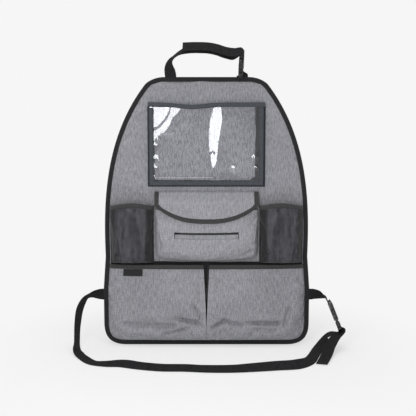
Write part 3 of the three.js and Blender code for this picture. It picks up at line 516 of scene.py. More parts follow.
def heather_polyester(name, light, dark):
    """Melange polyester canvas: grey and near-white yarns twisted together, so the cloth shows a fine grain
    with short upright streaks and a dry, matt face."""
    material, tree = new_material(name)
    place = add(tree, "ShaderNodeTexCoord").outputs["UV"]
    # Yarns are 0.4 mm apart and streaked over 10 mm or so, and are drawn 1.8 mm wide so that they show
    yarn = 1.8 * MM

    def flecks(across, along):
        scaled = add(tree, "ShaderNodeMapping", {"Vector": place, "Scale": (1 / across, 1 / along, 1)})
        return add(tree, "ShaderNodeTexNoise", {"Vector": scaled.outputs[0], "Scale": 1.0, "Detail": 1.0,
                                                "Roughness": 0.5}, noise_dimensions="2D").outputs[0]

    streaks, grain = flecks(1.4 * yarn, 8 * yarn), flecks(1.3 * yarn, 1.5 * yarn)
    slubs, patches = flecks(6 * yarn, 1.2 * yarn), flecks(70 * MM, 90 * MM)
    fine = add(tree, "ShaderNodeMath", {0: grain, 1: 0.8, 2: streaks}, operation="MULTIPLY_ADD")
    crossed = add(tree, "ShaderNodeMath", {0: slubs, 1: 0.35, 2: fine.outputs[0]}, operation="MULTIPLY_ADD")
    uneven = add(tree, "ShaderNodeMath", {0: patches, 1: 0.25, 2: crossed.outputs[0]},
                 operation="MULTIPLY_ADD")
    # Behind the clear film the weave's grain looks stronger
    cover = film_cover(tree)
    lowest = add(tree, "ShaderNodeMapRange", {0: cover, 3: 0.85, 4: 1.12})
    highest = add(tree, "ShaderNodeMapRange", {0: cover, 3: 1.55, 4: 1.28})
    share = add(tree, "ShaderNodeMapRange", {0: uneven.outputs[0], 1: lowest.outputs[0],
                                             2: highest.outputs[0]})
    colour = add(tree, "ShaderNodeMix", {"Factor": share.outputs[0], "A": linear(dark), "B": linear(light)},
                 data_type="RGBA")
    relief = add(tree, "ShaderNodeBump", {"Height": fine.outputs[0], "Strength": 0.35, "Distance": 0.3 * MM})
    shader = add(tree, "ShaderNodeBsdfPrincipled", {
        "Base Color": colour.outputs["Result"], "Roughness": 0.92, "Specular IOR Level": 0.25,
        "Sheen Weight": 0.12, "Sheen Roughness": 0.5, "Normal": relief.outputs[0]})
    add(tree, "ShaderNodeOutputMaterial", {"Surface": shader.outputs[0]})
    return material


def needled_felt(name, light, dark):
    """Needle-punched polyester felt: a lint of crossing fibres with no thread lines, soft and quite matt."""
    material, tree = new_material(name)
    place = add(tree, "ShaderNodeTexCoord").outputs["Object"]
    # Fibres are 0.03 mm thick and lie in tufts about 2 mm across
    tuft = add(tree, "ShaderNodeTexNoise", {"Vector": place, "Scale": 1 / (2 * MM), "Detail": 4.0,
                                            "Roughness": 0.7})
    cloud = add(tree, "ShaderNodeTexNoise", {"Vector": place, "Scale": 1 / (45 * MM), "Detail": 2.0})
    share = add(tree, "ShaderNodeMath", {0: cloud.outputs[0], 1: 0.6, 2: tuft.outputs[0]},
                operation="MULTIPLY_ADD")
    ranged = add(tree, "ShaderNodeMapRange", {0: share.outputs[0], 1: 0.45, 2: 1.15})
    colour = add(tree, "ShaderNodeMix", {"Factor": ranged.outputs[0], "A": linear(dark), "B": linear(light)},
                 data_type="RGBA")
    relief = add(tree, "ShaderNodeBump", {"Height": tuft.outputs[0], "Strength": 0.6, "Distance": 0.5 * MM})
    shader = add(tree, "ShaderNodeBsdfPrincipled", {
        "Base Color": colour.outputs["Result"], "Roughness": 0.96, "Specular IOR Level": 0.15,
        "Sheen Weight": 0.25, "Sheen Roughness": 0.6, "Normal": relief.outputs[0]})
    add(tree, "ShaderNodeOutputMaterial", {"Surface": shader.outputs[0]})
    return material


def ribbed_tape(name, light, dark, rib=1.3, roughness=0.82, specular=0.3, depth=0.3):
    """Woven polyester binding: fine ribs run across the tape; their tops are painted lighter as a painted
    highlight, and their bump catches a little light too.
    """
    material, tree = new_material(name)
    place = add(tree, "ShaderNodeTexCoord").outputs["UV"]
    # Ribs are 0.7 mm apart on the real tape, and are drawn coarser so that they show
    ribs = add(tree, "ShaderNodeTexWave", {"Vector": place, "Scale": 0.5 / (rib * MM), "Distortion": 0.6,
                                           "Detail": 1.0, "Detail Scale": 1.5}, wave_type="BANDS",
               bands_direction="X")
    fuzz = add(tree, "ShaderNodeTexNoise", {"Vector": place, "Scale": 1 / (4 * MM), "Detail": 4.0,
                                            "Roughness": 0.65}, noise_dimensions="2D")
    # The rib height also sets the colour, so each rib's top is painted lighter: a painted highlight over
    # random fuzz
    share = add(tree, "ShaderNodeMath", {0: ribs.outputs["Fac"], 1: 0.5, 2: fuzz.outputs[0]},
                operation="MULTIPLY_ADD")
    ranged = add(tree, "ShaderNodeMapRange", {0: share.outputs[0], 1: 0.3, 2: 1.1})
    colour = add(tree, "ShaderNodeMix", {"Factor": ranged.outputs[0], "A": linear(dark), "B": linear(light)},
                 data_type="RGBA")
    relief = add(tree, "ShaderNodeBump", {"Height": share.outputs[0], "Strength": 0.6, "Distance": depth * MM})
    shader = add(tree, "ShaderNodeBsdfPrincipled", {
        "Base Color": colour.outputs["Result"], "Roughness": roughness, "Sheen Weight": 0.1,
        "Specular IOR Level": specular, "Normal": relief.outputs[0]})
    add(tree, "ShaderNodeOutputMaterial", {"Surface": shader.outputs[0]})
    return material


def woven_webbing(name, light, dark):
    """Polypropylene webbing: cords run along it in a herringbone, and their tops are painted lighter as a
    painted sheen.
    """
    material, tree = new_material(name)
    place = add(tree, "ShaderNodeTexCoord").outputs["UV"]
    # Cords are 1.6 mm wide, two to each turn of the wave, and a pick of the weft crosses them every 2.2 mm
    split = add(tree, "ShaderNodeSeparateXYZ", {0: place})
    per_cord, per_pick = 2 * math.pi / (3.2 * MM), 2 * math.pi / (2.2 * MM)
    cords = add(tree, "ShaderNodeMath", {0: split.outputs["Y"], 1: per_cord}, operation="MULTIPLY")
    zigzag = add(tree, "ShaderNodeMath", {0: cords.outputs[0]}, operation="SINE")
    picks = add(tree, "ShaderNodeMath", {0: split.outputs["X"], 1: per_pick}, operation="MULTIPLY")
    leaning = add(tree, "ShaderNodeMath", {0: zigzag.outputs[0], 1: 1.6, 2: picks.outputs[0]},
                  operation="MULTIPLY_ADD")
    twill = add(tree, "ShaderNodeMath", {0: leaning.outputs[0]}, operation="SINE")
    ridge = add(tree, "ShaderNodeMath", {0: zigzag.outputs[0]}, operation="ABSOLUTE")
    height = add(tree, "ShaderNodeMath", {0: twill.outputs[0], 1: 0.5, 2: ridge.outputs[0]},
                 operation="MULTIPLY_ADD")
    fuzz = add(tree, "ShaderNodeTexNoise", {"Vector": place, "Scale": 1 / (9 * MM), "Detail": 3.0},
               noise_dimensions="2D")
    # The cords' height goes into the colour, so their tops are painted lighter than their sides: a painted
    # sheen over random fuzz
    share = add(tree, "ShaderNodeMath", {0: height.outputs[0], 1: 0.3, 2: fuzz.outputs[0]},
                operation="MULTIPLY_ADD")
    ranged = add(tree, "ShaderNodeMapRange", {0: share.outputs[0], 1: 0.2, 2: 1.1})
    colour = add(tree, "ShaderNodeMix", {"Factor": ranged.outputs[0], "A": linear(dark), "B": linear(light)},
                 data_type="RGBA")
    relief = add(tree, "ShaderNodeBump", {"Height": height.outputs[0], "Strength": 0.7, "Distance": 0.35 * MM})
    shader = add(tree, "ShaderNodeBsdfPrincipled", {
        "Base Color": colour.outputs["Result"], "Roughness": 0.8, "Specular IOR Level": 0.15,
        "Normal": relief.outputs[0]})
    add(tree, "ShaderNodeOutputMaterial", {"Surface": shader.outputs[0]})
    return material


def knitted_mesh(name, yarn_light, yarn_dark, pleat_colour):
    """Warp-knitted polyester mesh: rows of small round holes between dark yarns, so what lies behind shows
    dimly."""
    material, tree = new_material(name)
    place = add(tree, "ShaderNodeTexCoord").outputs["UV"]
    # Holes are 1.2 mm across on a 2.4 mm pitch, each row half a step along
    pitch = 2.4 * MM
    scaled = add(tree, "ShaderNodeMapping", {"Vector": place, "Scale": (1 / pitch, 1.1547 / pitch, 1)})
    split = add(tree, "ShaderNodeSeparateXYZ", {0: scaled.outputs[0]})
    row = add(tree, "ShaderNodeMath", {0: split.outputs["Y"]}, operation="FLOOR")
    odd = add(tree, "ShaderNodeMath", {0: row.outputs[0], 1: 2.0}, operation="FLOORED_MODULO")
    shifted = add(tree, "ShaderNodeMath", {0: odd.outputs[0], 1: 0.5, 2: split.outputs["X"]},
                  operation="MULTIPLY_ADD")
    x_in = add(tree, "ShaderNodeMath", {0: shifted.outputs[0]}, operation="FRACT")
    y_in = add(tree, "ShaderNodeMath", {0: split.outputs["Y"]}, operation="FRACT")
    cell = add(tree, "ShaderNodeCombineXYZ", {"X": x_in.outputs[0], "Y": y_in.outputs[0]})
    away = add(tree, "ShaderNodeVectorMath", {0: cell.outputs[0], 1: (0.5, 0.5, 0.0)}, operation="DISTANCE")
    yarn = add(tree, "ShaderNodeMapRange", {0: away.outputs["Value"], 1: 0.22, 2: 0.30})
    fuzz = add(tree, "ShaderNodeTexNoise", {"Vector": place, "Scale": 1 / (12 * MM), "Detail": 3.0},
               noise_dimensions="2D")
    # The net creases from mouth to foot; the darker streaks there are partly doubled yarns and partly painted
    # crease shade
    upright = add(tree, "ShaderNodeMapping", {"Vector": place, "Scale": (1 / (13 * MM), 1 / (75 * MM), 1)})
    crease = add(tree, "ShaderNodeTexNoise", {"Vector": upright.outputs[0], "Scale": 1.0, "Detail": 2.0,
                                              "Distortion": 0.6}, noise_dimensions="2D")
    depth = add(tree, "ShaderNodeMath", {0: crease.outputs[0], 1: 1.6, 2: fuzz.outputs[0]},
                operation="MULTIPLY_ADD")
    crease_shade_and_fuzz = add(tree, "ShaderNodeMapRange", {0: depth.outputs[0], 1: 0.9, 2: 1.7})
    colour = add(tree, "ShaderNodeMix", {"Factor": crease_shade_and_fuzz.outputs[0], "A": linear(yarn_dark),
                                         "B": linear(yarn_light)}, data_type="RGBA")
    relief = add(tree, "ShaderNodeBump", {"Height": away.outputs["Value"], "Strength": 0.5,
                                          "Distance": 0.4 * MM})
    # Each side of the pocket is a pleat of doubled net, nearly black
    unscaled = add(tree, "ShaderNodeSeparateXYZ", {0: place})
    off_middle = add(tree, "ShaderNodeMath", {0: unscaled.outputs["X"]}, operation="ABSOLUTE")
    pleat = add(tree, "ShaderNodeMapRange", {0: off_middle.outputs[0], 1: 32 * MM, 2: 41 * MM})
    shaded = add(tree, "ShaderNodeMix", {"Factor": pleat.outputs[0], "A": colour.outputs["Result"],
                                         "B": linear(pleat_colour)}, data_type="RGBA")
    cover = add(tree, "ShaderNodeMath", {0: yarn.outputs[0], 1: pleat.outputs[0]}, operation="MAXIMUM")
    shader = add(tree, "ShaderNodeBsdfPrincipled", {
        "Base Color": shaded.outputs["Result"], "Alpha": cover.outputs[0], "Roughness": 0.75,
        "Specular IOR Level": 0.3, "Sheen Weight": 0.1, "Normal": relief.outputs[0]})
    add(tree, "ShaderNodeOutputMaterial", {"Surface": shader.outputs[0]})
    return material


def clear_vinyl(name):
    """Soft clear vinyl film: nearly invisible face on, with hard bright glare where it leans to a lamp."""
    material, tree = new_material(name)
    place = add(tree, "ShaderNodeTexCoord").outputs["Object"]
    smear = add(tree, "ShaderNodeTexNoise", {"Vector": place, "Scale": 1 / (25 * MM), "Detail": 3.0})
    dull = add(tree, "ShaderNodeMapRange", {0: smear.outputs[0], 1: 0.35, 2: 0.75, 3: 0.0, 4: 0.02})
    glare = add(tree, "ShaderNodeBsdfPrincipled", {
        "Base Color": linear("#f6f8fa"), "Metallic": 1.0, "Roughness": dull.outputs[0]})
    clear = add(tree, "ShaderNodeBsdfTransparent", {"Color": linear("#fcfcfd")})
    # Each face of the film mirrors about a twentieth of the light and lets the rest through
    shader = add(tree, "ShaderNodeMixShader", {0: 0.05, 1: clear.outputs[0], 2: glare.outputs[0]})
    add(tree, "ShaderNodeOutputMaterial", {"Surface": shader.outputs[0]})
    return material


def moulded_acetal(name, light, dark):
    """Moulded acetal: smooth and waxy, with rounded edges that take a soft highlight and faint flow marks."""
    material, tree = new_material(name)
    place = add(tree, "ShaderNodeTexCoord").outputs["Object"]
    flow = add(tree, "ShaderNodeTexNoise", {"Vector": place, "Scale": 1 / (9 * MM), "Detail": 3.0})
    grain = add(tree, "ShaderNodeTexNoise", {"Vector": place, "Scale": 1 / (0.4 * MM), "Detail": 2.0})
    colour = add(tree, "ShaderNodeMix", {"Factor": flow.outputs[0], "A": linear(dark), "B": linear(light)},
                 data_type="RGBA")
    dull = add(tree, "ShaderNodeMapRange", {0: flow.outputs[0], 3: 0.32, 4: 0.46})
    relief = add(tree, "ShaderNodeBump", {"Height": grain.outputs[0], "Strength": 0.15, "Distance": 0.05 * MM})
    shader = add(tree, "ShaderNodeBsdfPrincipled", {
        "Base Color": colour.outputs["Result"], "Roughness": dull.outputs[0], "Normal": relief.outputs[0]})
    add(tree, "ShaderNodeOutputMaterial", {"Surface": shader.outputs[0]})
    return material


def sewing_thread(name, light, dark):
    """Bonded polyester sewing thread: twisted plies, a touch shinier than the tape that it holds."""
    material, tree = new_material(name)
    place = add(tree, "ShaderNodeTexCoord").outputs["Object"]
    twist = add(tree, "ShaderNodeTexNoise", {"Vector": place, "Scale": 1 / (0.8 * MM), "Detail": 1.0})
    colour = add(tree, "ShaderNodeMix", {"Factor": twist.outputs[0], "A": linear(dark), "B": linear(light)},
                 data_type="RGBA")
    shader = add(tree, "ShaderNodeBsdfPrincipled", {"Base Color": colour.outputs["Result"], "Roughness": 0.6})
    add(tree, "ShaderNodeOutputMaterial", {"Surface": shader.outputs[0]})
    return material


def hook_and_loop_pile(name, light, dark):
    """Nylon hook and loop tape: a short dense pile that drinks the light."""
    material, tree = new_material(name)
    place = add(tree, "ShaderNodeTexCoord").outputs["Object"]
    # Hooks stand 1.2 mm apart
    pile = add(tree, "ShaderNodeTexVoronoi", {"Vector": place, "Scale": 1 / (1.2 * MM)})
    colour = add(tree, "ShaderNodeMix", {"Factor": pile.outputs["Distance"], "A": linear(light),
                                         "B": linear(dark)}, data_type="RGBA")
    relief = add(tree, "ShaderNodeBump", {"Height": pile.outputs["Distance"], "Strength": 0.8,
                                          "Distance": 0.4 * MM})
    shader = add(tree, "ShaderNodeBsdfPrincipled", {
        "Base Color": colour.outputs["Result"], "Roughness": 0.9, "Specular IOR Level": 0.2,
        "Normal": relief.outputs[0]})
    add(tree, "ShaderNodeOutputMaterial", {"Surface": shader.outputs[0]})
    return material


heather = heather_polyester("heather_polyester_canvas", "#98989d", "#737378")
flap_heather = heather_polyester("light_heather_polyester_canvas", "#9d9da2", "#7b7b80")
felt = needled_felt("needled_polyester_felt", "#444447", "#2b2b2d")
tape = ribbed_tape("ribbed_polyester_binding", "#2a2a2c", "#19191b", specular=0.15)
pocket_tape = ribbed_tape("soft_ribbed_polyester_binding", "#434242", "#2d2c2c", specular=0.2)
# The tablet pocket's tape and frame are coated on the back, which makes them bluer and a little shinier
frame_tape = ribbed_tape("coated_polyester_binding", "#484d53", "#1f2225", roughness=0.6, depth=0.15)
frame_cloth = ribbed_tape("coated_polyester_frame_cloth", "#33363b", "#24272a", roughness=0.7, specular=0.2)
# Plain cloth is drier than tape, and a satin label is smoother
black_cloth = ribbed_tape("plain_woven_black_polyester", "#2e2e30", "#1c1c1e", rib=1.0, roughness=0.9,
                          specular=0.2)
label_satin = ribbed_tape("satin_woven_label", "#1d1d1f", "#151516", rib=0.9, roughness=0.55, specular=0.2,
                          depth=0.1)
webbing_cloth = woven_webbing("woven_polypropylene_webbing", "#28282a", "#161617")
mesh_cloth = knitted_mesh("warp_knitted_polyester_mesh", "#504f55", "#29282d", "#1e1e20")
film_vinyl = clear_vinyl("clear_vinyl_film")
acetal = moulded_acetal("moulded_black_acetal", "#2c2c2e", "#1b1b1c")
thread = sewing_thread("bonded_polyester_thread", "#3a3a3b", "#1f1f20")
pile = hook_and_loop_pile("nylon_hook_and_loop", "#232325", "#0f0f10")


# Folded tape and stitches

def folded_tape(name, surface, stations, cloth, puff, seed):
    """Binding tape folded over an edge: stations has rows of edge u, edge v, inner u, inner v. puff is how
    far its front swells between the stitches."""
    eu, ev, iu, iv = np.array(stations, float).T
    middle = FOLD_GAP + TAPE_THICKNESS / 2
    sewn, back = SEWN_GAP + TAPE_THICKNESS / 2, -(cloth + middle)
    edge = skin(surface, eu, ev, np.zeros_like(eu))
    inner = skin(surface, iu, iv, np.zeros_like(eu))
    out = unit(edge - inner)
    run = np.cumsum(np.linalg.norm(np.diff(edge, axis=0, prepend=edge[:1]), axis=1))
    ride = puff * waves(run, 0.0, 22, seed)

    def layer(share, lift):
        return skin(surface, mix(iu, eu, share), mix(iv, ev, share), np.broadcast_to(lift, eu.shape))

    def turn(share):
        past = math.sin(share * math.pi) * (TAPE_THICKNESS / 2 + SEAM)
        return layer(1.0, mix(middle, back, share)) + out * past

    # Shares run from the sewn edge at 0 to the folded edge at 1
    front = [layer(0.0, sewn), layer(0.12, mix(sewn, middle, 0.35)), layer(0.35, middle + 0.2 + ride),
             layer(0.7, middle + 0.3 + ride), layer(1.0, middle)]
    behind = [layer(1.0, back), layer(0.5, back), layer(0.0, back)]
    points = np.array([*front, turn(0.25), turn(0.5), turn(0.75), *behind])
    piece = grid_piece(name, points)
    face_outward(piece, (0, -1, 0))
    return piece, points


def stitch_row(name, line, pitch=3.6, length=2.5, thick=0.55):
    """A row of single stitches along a line of points: one thread bead, repeated and laid along the line.
    The thread is drawn thicker than its 0.3 mm so that it shows."""
    spaced = resampled(np.asarray(line, float), 400)
    total = float(np.linalg.norm(np.diff(spaced, axis=0), axis=1).sum())
    count = max(2, int(total / pitch))
    deselect()
    bpy.ops.mesh.primitive_uv_sphere_add(segments=6, ring_count=5, radius=1.0, location=(0, 0, 0))
    bead = bpy.context.object
    bead.name = bead.data.name = name
    for vertex in bead.data.vertices:
        x, y, z = vertex.co
        vertex.co = (z * length / 2 * MM, x * thick / 2 * MM, y * thick / 2 * MM)
    spots = resampled(spaced, count)
    centres = (spots[:-1] + spots[1:]) / 2 * MM
    heading = unit(spots[1:] - spots[:-1])
    shape = np.array([v.co for v in bead.data.vertices])
    faces = [tuple(p.vertices) for p in bead.data.polygons]
    aside = np.broadcast_to([0.0, 0.3, 0.95], heading.shape) + heading[:, [1, 2, 0]] * 0.01
    side = unit(np.cross(heading, aside))
    rise = np.cross(side, heading)
    places = (centres[:, None] + shape[None, :, 0:1] * heading[:, None] + shape[None, :, 1:2] * side[:, None]
              + shape[None, :, 2:3] * rise[:, None]).reshape(-1, 3)
    copies = [tuple(i * len(shape) + v for v in face) for i in range(len(centres)) for face in faces]
    mesh = bpy.data.meshes.new(name)
    mesh.from_pydata(places.tolist(), [], copies)
    old = bead.data
    bead.data = mesh
    bpy.data.meshes.remove(old)
    face_work = bmesh.new()
    face_work.from_mesh(mesh)
    bmesh.ops.recalc_face_normals(face_work, faces=face_work.faces)
    face_work.to_mesh(mesh)
    face_work.free()
    return bead


stitches = []


def sew(line, **settings):
    stitches.append(stitch_row(f"stitch_row_{len(stitches)}", line, **settings))


def bind_edge(name, surface, stations, cloth, puff, seed, material, node, flip=False):
    """Folds binding tape over the edge of a cloth and sews it along its inner side. flip mirrors it."""
    band, rows = folded_tape(name, surface, stations, cloth, puff, seed)
    if flip:
        mirror_piece(band)
    finish_sheet(band, TAPE_THICKNESS, material, "binding_tape", node, offset=0.0)
    seam_share = 0.55
    seam_line = mix(rows[0], rows[2], seam_share) + [0, -TAPE_THICKNESS / 2 - THREAD_LIFT, 0]
    sew(mirror_points(seam_line) if flip else seam_line)
    return band


# Panel face, lining and edge tape

def panel_places(columns, rows):
    """A grid over the whole panel, as x, z and the distance in from its edge."""
    u, v = np.meshgrid(np.linspace(-1, 1, columns), np.linspace(0, 1, rows))
    low, high = FOOT_Z + CLOTH_INSET, TOP_Z - CLOTH_INSET
    z = mix(low, high, v)
    half = half_width_at(z, CLOTH_INSET)
    x = u * half
    to_side, to_foot = (half - np.abs(x)) * SIDE_LEAN, z - FOOT_Z - CLOTH_INSET
    return x, z, np.minimum(np.minimum(to_side, to_foot), high - z) + CLOTH_INSET


def sewn_down(x, z):
    """Flags for the places on the panel's face that a seam, or the cloth sewn over them, holds down."""
    to_side = (half_width_at(z, CLOTH_INSET) - np.abs(x)) * SIDE_LEAN
    in_edge_tape = np.minimum(np.minimum(to_side, z - FOOT_Z), TOP_Z - z) < EDGE_TAPE_REACH + 0.5
    tablet = TABLET_WIDTH / 2
    foot, top = FOOT_Z + TABLET_FOOT, FOOT_Z + TABLET_FOOT + TABLET_HEIGHT
    at_tablet = (np.abs(x) < tablet + 2) & (z > foot - 2) & (z < top)
    in_frame = at_tablet & ((np.abs(x) > tablet - 8) | (z < foot + 8))
    under_flap = (z < FOOT_Z + FLAP_SEAM + 2) & (np.abs(x) < FLAP_WIDTH / 2 + 3)
    under_pockets = z < FOOT_Z + ROW_FOOT + 150
    return in_edge_tape | in_frame | under_flap | under_pockets


def make_panel():
    x, z, edge = panel_places(126, 170)
    depth = mix(FACE_RIM - 0.35, FACE_CORE, smooth((edge - 8.0) / 7.0))
    depth = depth + smooth((edge - 14) / 20) * 0.35 * waves(x, z, 60, 3)
    piece = grid_piece("panel_face", point(x, -(LINING_CORE + depth), z))
    face_outward(piece, (0, -1, 0))
    at_x, _, at_z = (places_of(piece) / MM).T
    settle(piece, sewn_down(at_x, at_z), slack=0.012, frames=12, cap=2.4, pressure=0.6)
    finish_sheet(piece, 1.2, heather, "heather_cloth", "front_panel")


def make_lining():
    x, z, edge = panel_places(90, 120)
    sag = 0.2 * waves(x, z, 80, 11) * smooth((edge - 12) / 20)
    piece = grid_piece("felt_lining", point(x, mix(RIM_BACK_Y, -0.25, smooth((edge - 8) / 6)) + sag, z))
    face_outward(piece, (0, 1, 0))
    finish_sheet(piece, LINING_RIM * 0.8, felt, "felt_lining", "back_lining")


def make_edge_tape():
    loop = np.concatenate([OUTLINE, OUTLINE[:1]])
    normals = np.concatenate([OUTLINE_NORMALS, OUTLINE_NORMALS[:1]])
    run = np.concatenate([[0], np.cumsum(np.linalg.norm(np.diff(loop, axis=0), axis=1))])
    total = run[-1]
    # The tape swells a little between its stitches, 61 and 23 times on its way round
    turns = run * 2 * math.pi
    swell = 0.18 * np.sin(turns * 61 / total) + 0.22 * np.sin(turns * 23 / total + 1.0)
    half = TAPE_THICKNESS / 2
    front, back = RIM_FRONT_Y - SEAM - half, -half
    wall = SEAM + half
    # From the front's sewn edge, round the panel's edge, to the back's: outward, depth and share of the swell
    section = [(-EDGE_TAPE_REACH, front + 0.55, 0.4), (-EDGE_TAPE_REACH + 1.3, front + 0.12, 0.6),
               (-5, front - 0.25, 1), (-2, front - 0.25, 1), (wall - 0.75, front + 0.1, 0.5),
               (wall - 0.1, front + 0.8, 0), (wall, mix(front, back, 0.5), 0), (wall - 0.1, back - 0.8, 0),
               (wall - 0.75, back - 0.1, 0), (-4, back + 0.05, 0), (-EDGE_TAPE_REACH, back - 0.3, 0)]
    points = np.array([on_line(loop + normals * out, y - share * swell) for out, y, share in section])
    uv = np.stack([np.broadcast_to(run, points.shape[:2]), along_lengths(points, 0)], axis=-1)
    piece = grid_piece("edge_tape", points, closed=True, uv=uv)
    face_outward(piece, (0, -1, 0))
    finish_sheet(piece, TAPE_THICKNESS, tape, "binding_tape", "edge_binding", offset=0.0)
    seam_line = OUTLINE - OUTLINE_NORMALS * (EDGE_TAPE_REACH - EDGE_SEAM_IN)
    sew(on_line(seam_line, front - half - 0.12))
    sew(on_line(seam_line, back + half + 0.1))


# Lower pockets

LOWER_TAPE_V = 1 - POCKET_TAPE_REACH / LOWER_HEIGHT
LOWER_EVEN = 0.8
LIFT_SHARE = 0.06


def tape_lift(v, start):
    return (TAPE_THICKNESS + 2 * SEAM) * smooth((v - start + LIFT_SHARE) / LIFT_SHARE)


def lower_surface(phase):
    def surface(u, v):
        z = FOOT_Z + LOWER_FOOT + v * LOWER_HEIGHT
        outer = half_width_at(z, POCKET_INSET)
        inner = mix(LOWER_GAP_FOOT, LOWER_GAP_TOP, np.clip((v - 0.2) / 0.8, 0, 1) ** 1.2) / 2
        across = np.minimum(1, evened(np.cos(u * math.pi / 2), LOWER_EVEN))
        rise = super_rise(across, LOWER_SQUARENESS)
        x = mix(inner, outer, across)
        depth = mix(LOWER_DEPTH, LOWER_MOUTH, smooth((v - 0.15) / 0.85))
        foot = super_rise(1 - np.minimum(1, v / LOWER_FOOT_SHARE), 2.3)
        # The cloth gathers over its foot seam and hangs in once towards its outer side
        gather = GATHER_HEIGHT * bump(v, 0.13, 0.07) * np.sin(x / GATHER_PITCH + phase) * rise
        hollow = -1.5 * bump(v, 0.17, 0.04) * bump(x, 120 + 20 * phase, 45)
        edge = LOWER_CLOTH + SEAM + tape_lift(v, LOWER_TAPE_V)
        return on_front(-x, edge + (depth - edge) * rise * foot + (gather + hollow) * foot, z)
    return surface


def crease(x, z, start, end, depth, width):
    """Heights of a soft valley along a line from start to end, which fades out past both ends."""
    start, end = np.array(start, float), np.array(end, float)
    run = end - start
    share = ((x - start[0]) * run[0] + (z - start[1]) * run[1]) / run.dot(run)
    near = np.clip(share, 0, 1)
    apart = np.hypot(x - start[0] - near * run[0], z - start[1] - near * run[1])
    return -depth * np.exp(-((apart / width) ** 2)) * (0.4 + 0.6 * smooth(2.5 * near * (2 - near)))


# Where each lower pocket's cloth is folded in, as it would be on the left one: ends, depth and width
LOWER_CREASES = {
    "left": [((-70, -238), (-12, -252), 12, 5), ((-198, -250), (-75, -256), 9, 6),
             ((-40, -262), (-90, -272), 7, 4.5), ((-205, -170), (-190, -238), 4, 7),
             ((-30, -205), (-12, -240), 7, 5)],
    "right": [((-8, -264), (-42, -243), 12, 5), ((-46, -246), (-78, -252), 9, 5.5),
              ((-92, -247), (-160, -250), 12, 5.5), ((-186, -205), (-176, -255), 7, 5),
              ((-110, -262), (-150, -268), 6, 4.5)],
}


def dense(count, ends=0.0):
    """Even steps from 0 to 1, drawn together at both ends by the share given."""
    t = np.linspace(0, 1, count)
    return mix(t, (1 - np.cos(math.pi * t)) / 2, ends)


def make_lower(side, phase, seed):
    """One lower pocket, built as the left one. phase shifts its gathers and seed draws its small waves."""
    surface = lower_surface(phase)
    flip = side == "right"
    u, v = np.meshgrid(dense(121, 0.1), np.unique(np.concatenate([dense(90) ** 1.25, [LOWER_TAPE_V]])))
    points = surface(u, v)
    x, z = points[..., 0], points[..., 2]
    fold = smooth(v / 0.1) * (1 - smooth((v - 0.76) / 0.1)) * smooth(u / 0.06) * smooth((1 - u) / 0.04)
    inward = sum(crease(x, z, *line) for line in LOWER_CREASES[side])
    points[..., 1] -= fold * (0.9 * waves(x, z, 60, seed) + 0.35 * waves(x, z, 22, seed + 1) + inward)
    if flip:
        points = mirror_points(points)
    piece = grid_piece(f"{side}_lower_cloth", points)
    face_outward(piece, (0, -1, 0))
    # Held at its sewn sides, at its foot, and above a line 6 mm below the label
    label_v = LOWER_TAPE_V - (LABEL_HEIGHT + 6) / LOWER_HEIGHT
    held = vertex_flags(piece, points, (u < 0.02) | (u > 0.985) | (v < 0.02) | (v > label_v))
    settle(piece, held, slack=0.035, frames=22, cap=5.0, pressure=0.25)
    keep_in_front(piece, FRONT_Y - SEAM - LOWER_CLOTH)
    finish_sheet(piece, LOWER_CLOTH, heather, "heather_cloth", f"{side}_lower_pocket", crisp=60)
    stations = [(s, 1, s, LOWER_TAPE_V) for s in dense(110)]
    band = bind_edge(f"{side}_lower_tape", surface, stations, LOWER_CLOTH, 0.25, seed, pocket_tape,
                     f"{side}_lower_binding", flip)
    gusset = centre_gusset(side, surface, flip)


def centre_gusset(side, surface, flip):
    """The black side of a lower pocket next to the panel's middle, with a shallow fold along it."""
    vs = np.linspace(0.03, 0.99, 50)
    edge = skin(surface, np.ones(50), vs, np.full(50, -(LOWER_CLOTH + SEAM)))
    rows = []
    for share in np.linspace(0, 0.96, 7):
        fold = -1.2 * math.sin(share * math.pi)
        rows.append(point(mix(-0.3, edge[:, 0], share) + fold * 0.3,
                          mix(FRONT_Y - 2 * SEAM, edge[:, 1], share), edge[:, 2]))
    points = np.array(rows)
    if flip:
        points = mirror_points(points)
    piece = grid_piece(f"{side}_centre_fold", points)
    face_outward(piece, (-1 if flip else 1, 0, 0))
    return finish_sheet(piece, GUSSET_CLOTH, black_cloth, "black_cloth", f"{side}_centre_gusset")


def make_centre_patch():
    """The black cloth between the two lower pockets, sewn flat to the panel where their mouths meet."""
    top = FOOT_Z + LOWER_FOOT + LOWER_HEIGHT + 4
    length, foot_half, top_half = 60, 2, 10
    u, v = np.meshgrid(np.linspace(-1, 1, 9), np.linspace(0, 1, 20))
    points = on_front(u * mix(foot_half, top_half, v), 1.2 + 0.2 * u * u, mix(top - length, top, v))
    piece = grid_piece("centre_patch", points)
    face_outward(piece, (0, -1, 0))
    finish_sheet(piece, 0.3, black_cloth, "black_cloth")


def make_tape_and_mouth_shade():
    """A dark tape sewn flat to the panel behind the lower pockets' mouths, where the row above them starts.
    The strip of it that shows above the mouths is partly the tape and partly stands in for the shade inside
    the open mouths, as painted shade.
    """
    mouth = FOOT_Z + LOWER_FOOT + LOWER_HEIGHT
    foot, top = mouth - 6, mouth + 5.5
    u, v = np.meshgrid(np.linspace(-1, 1, 120), np.linspace(0, 1, 5))
    z = mix(foot, top, v) + 0.7 * waves(u * 200, 0, 60, 91) * v
    piece = grid_piece("tape_and_mouth_shade", on_front(u * half_width_at(z, POCKET_INSET + 0.5), 0.9, z))
    face_outward(piece, (0, -1, 0))
    finish_sheet(piece, 0.35, tape, "binding_tape")


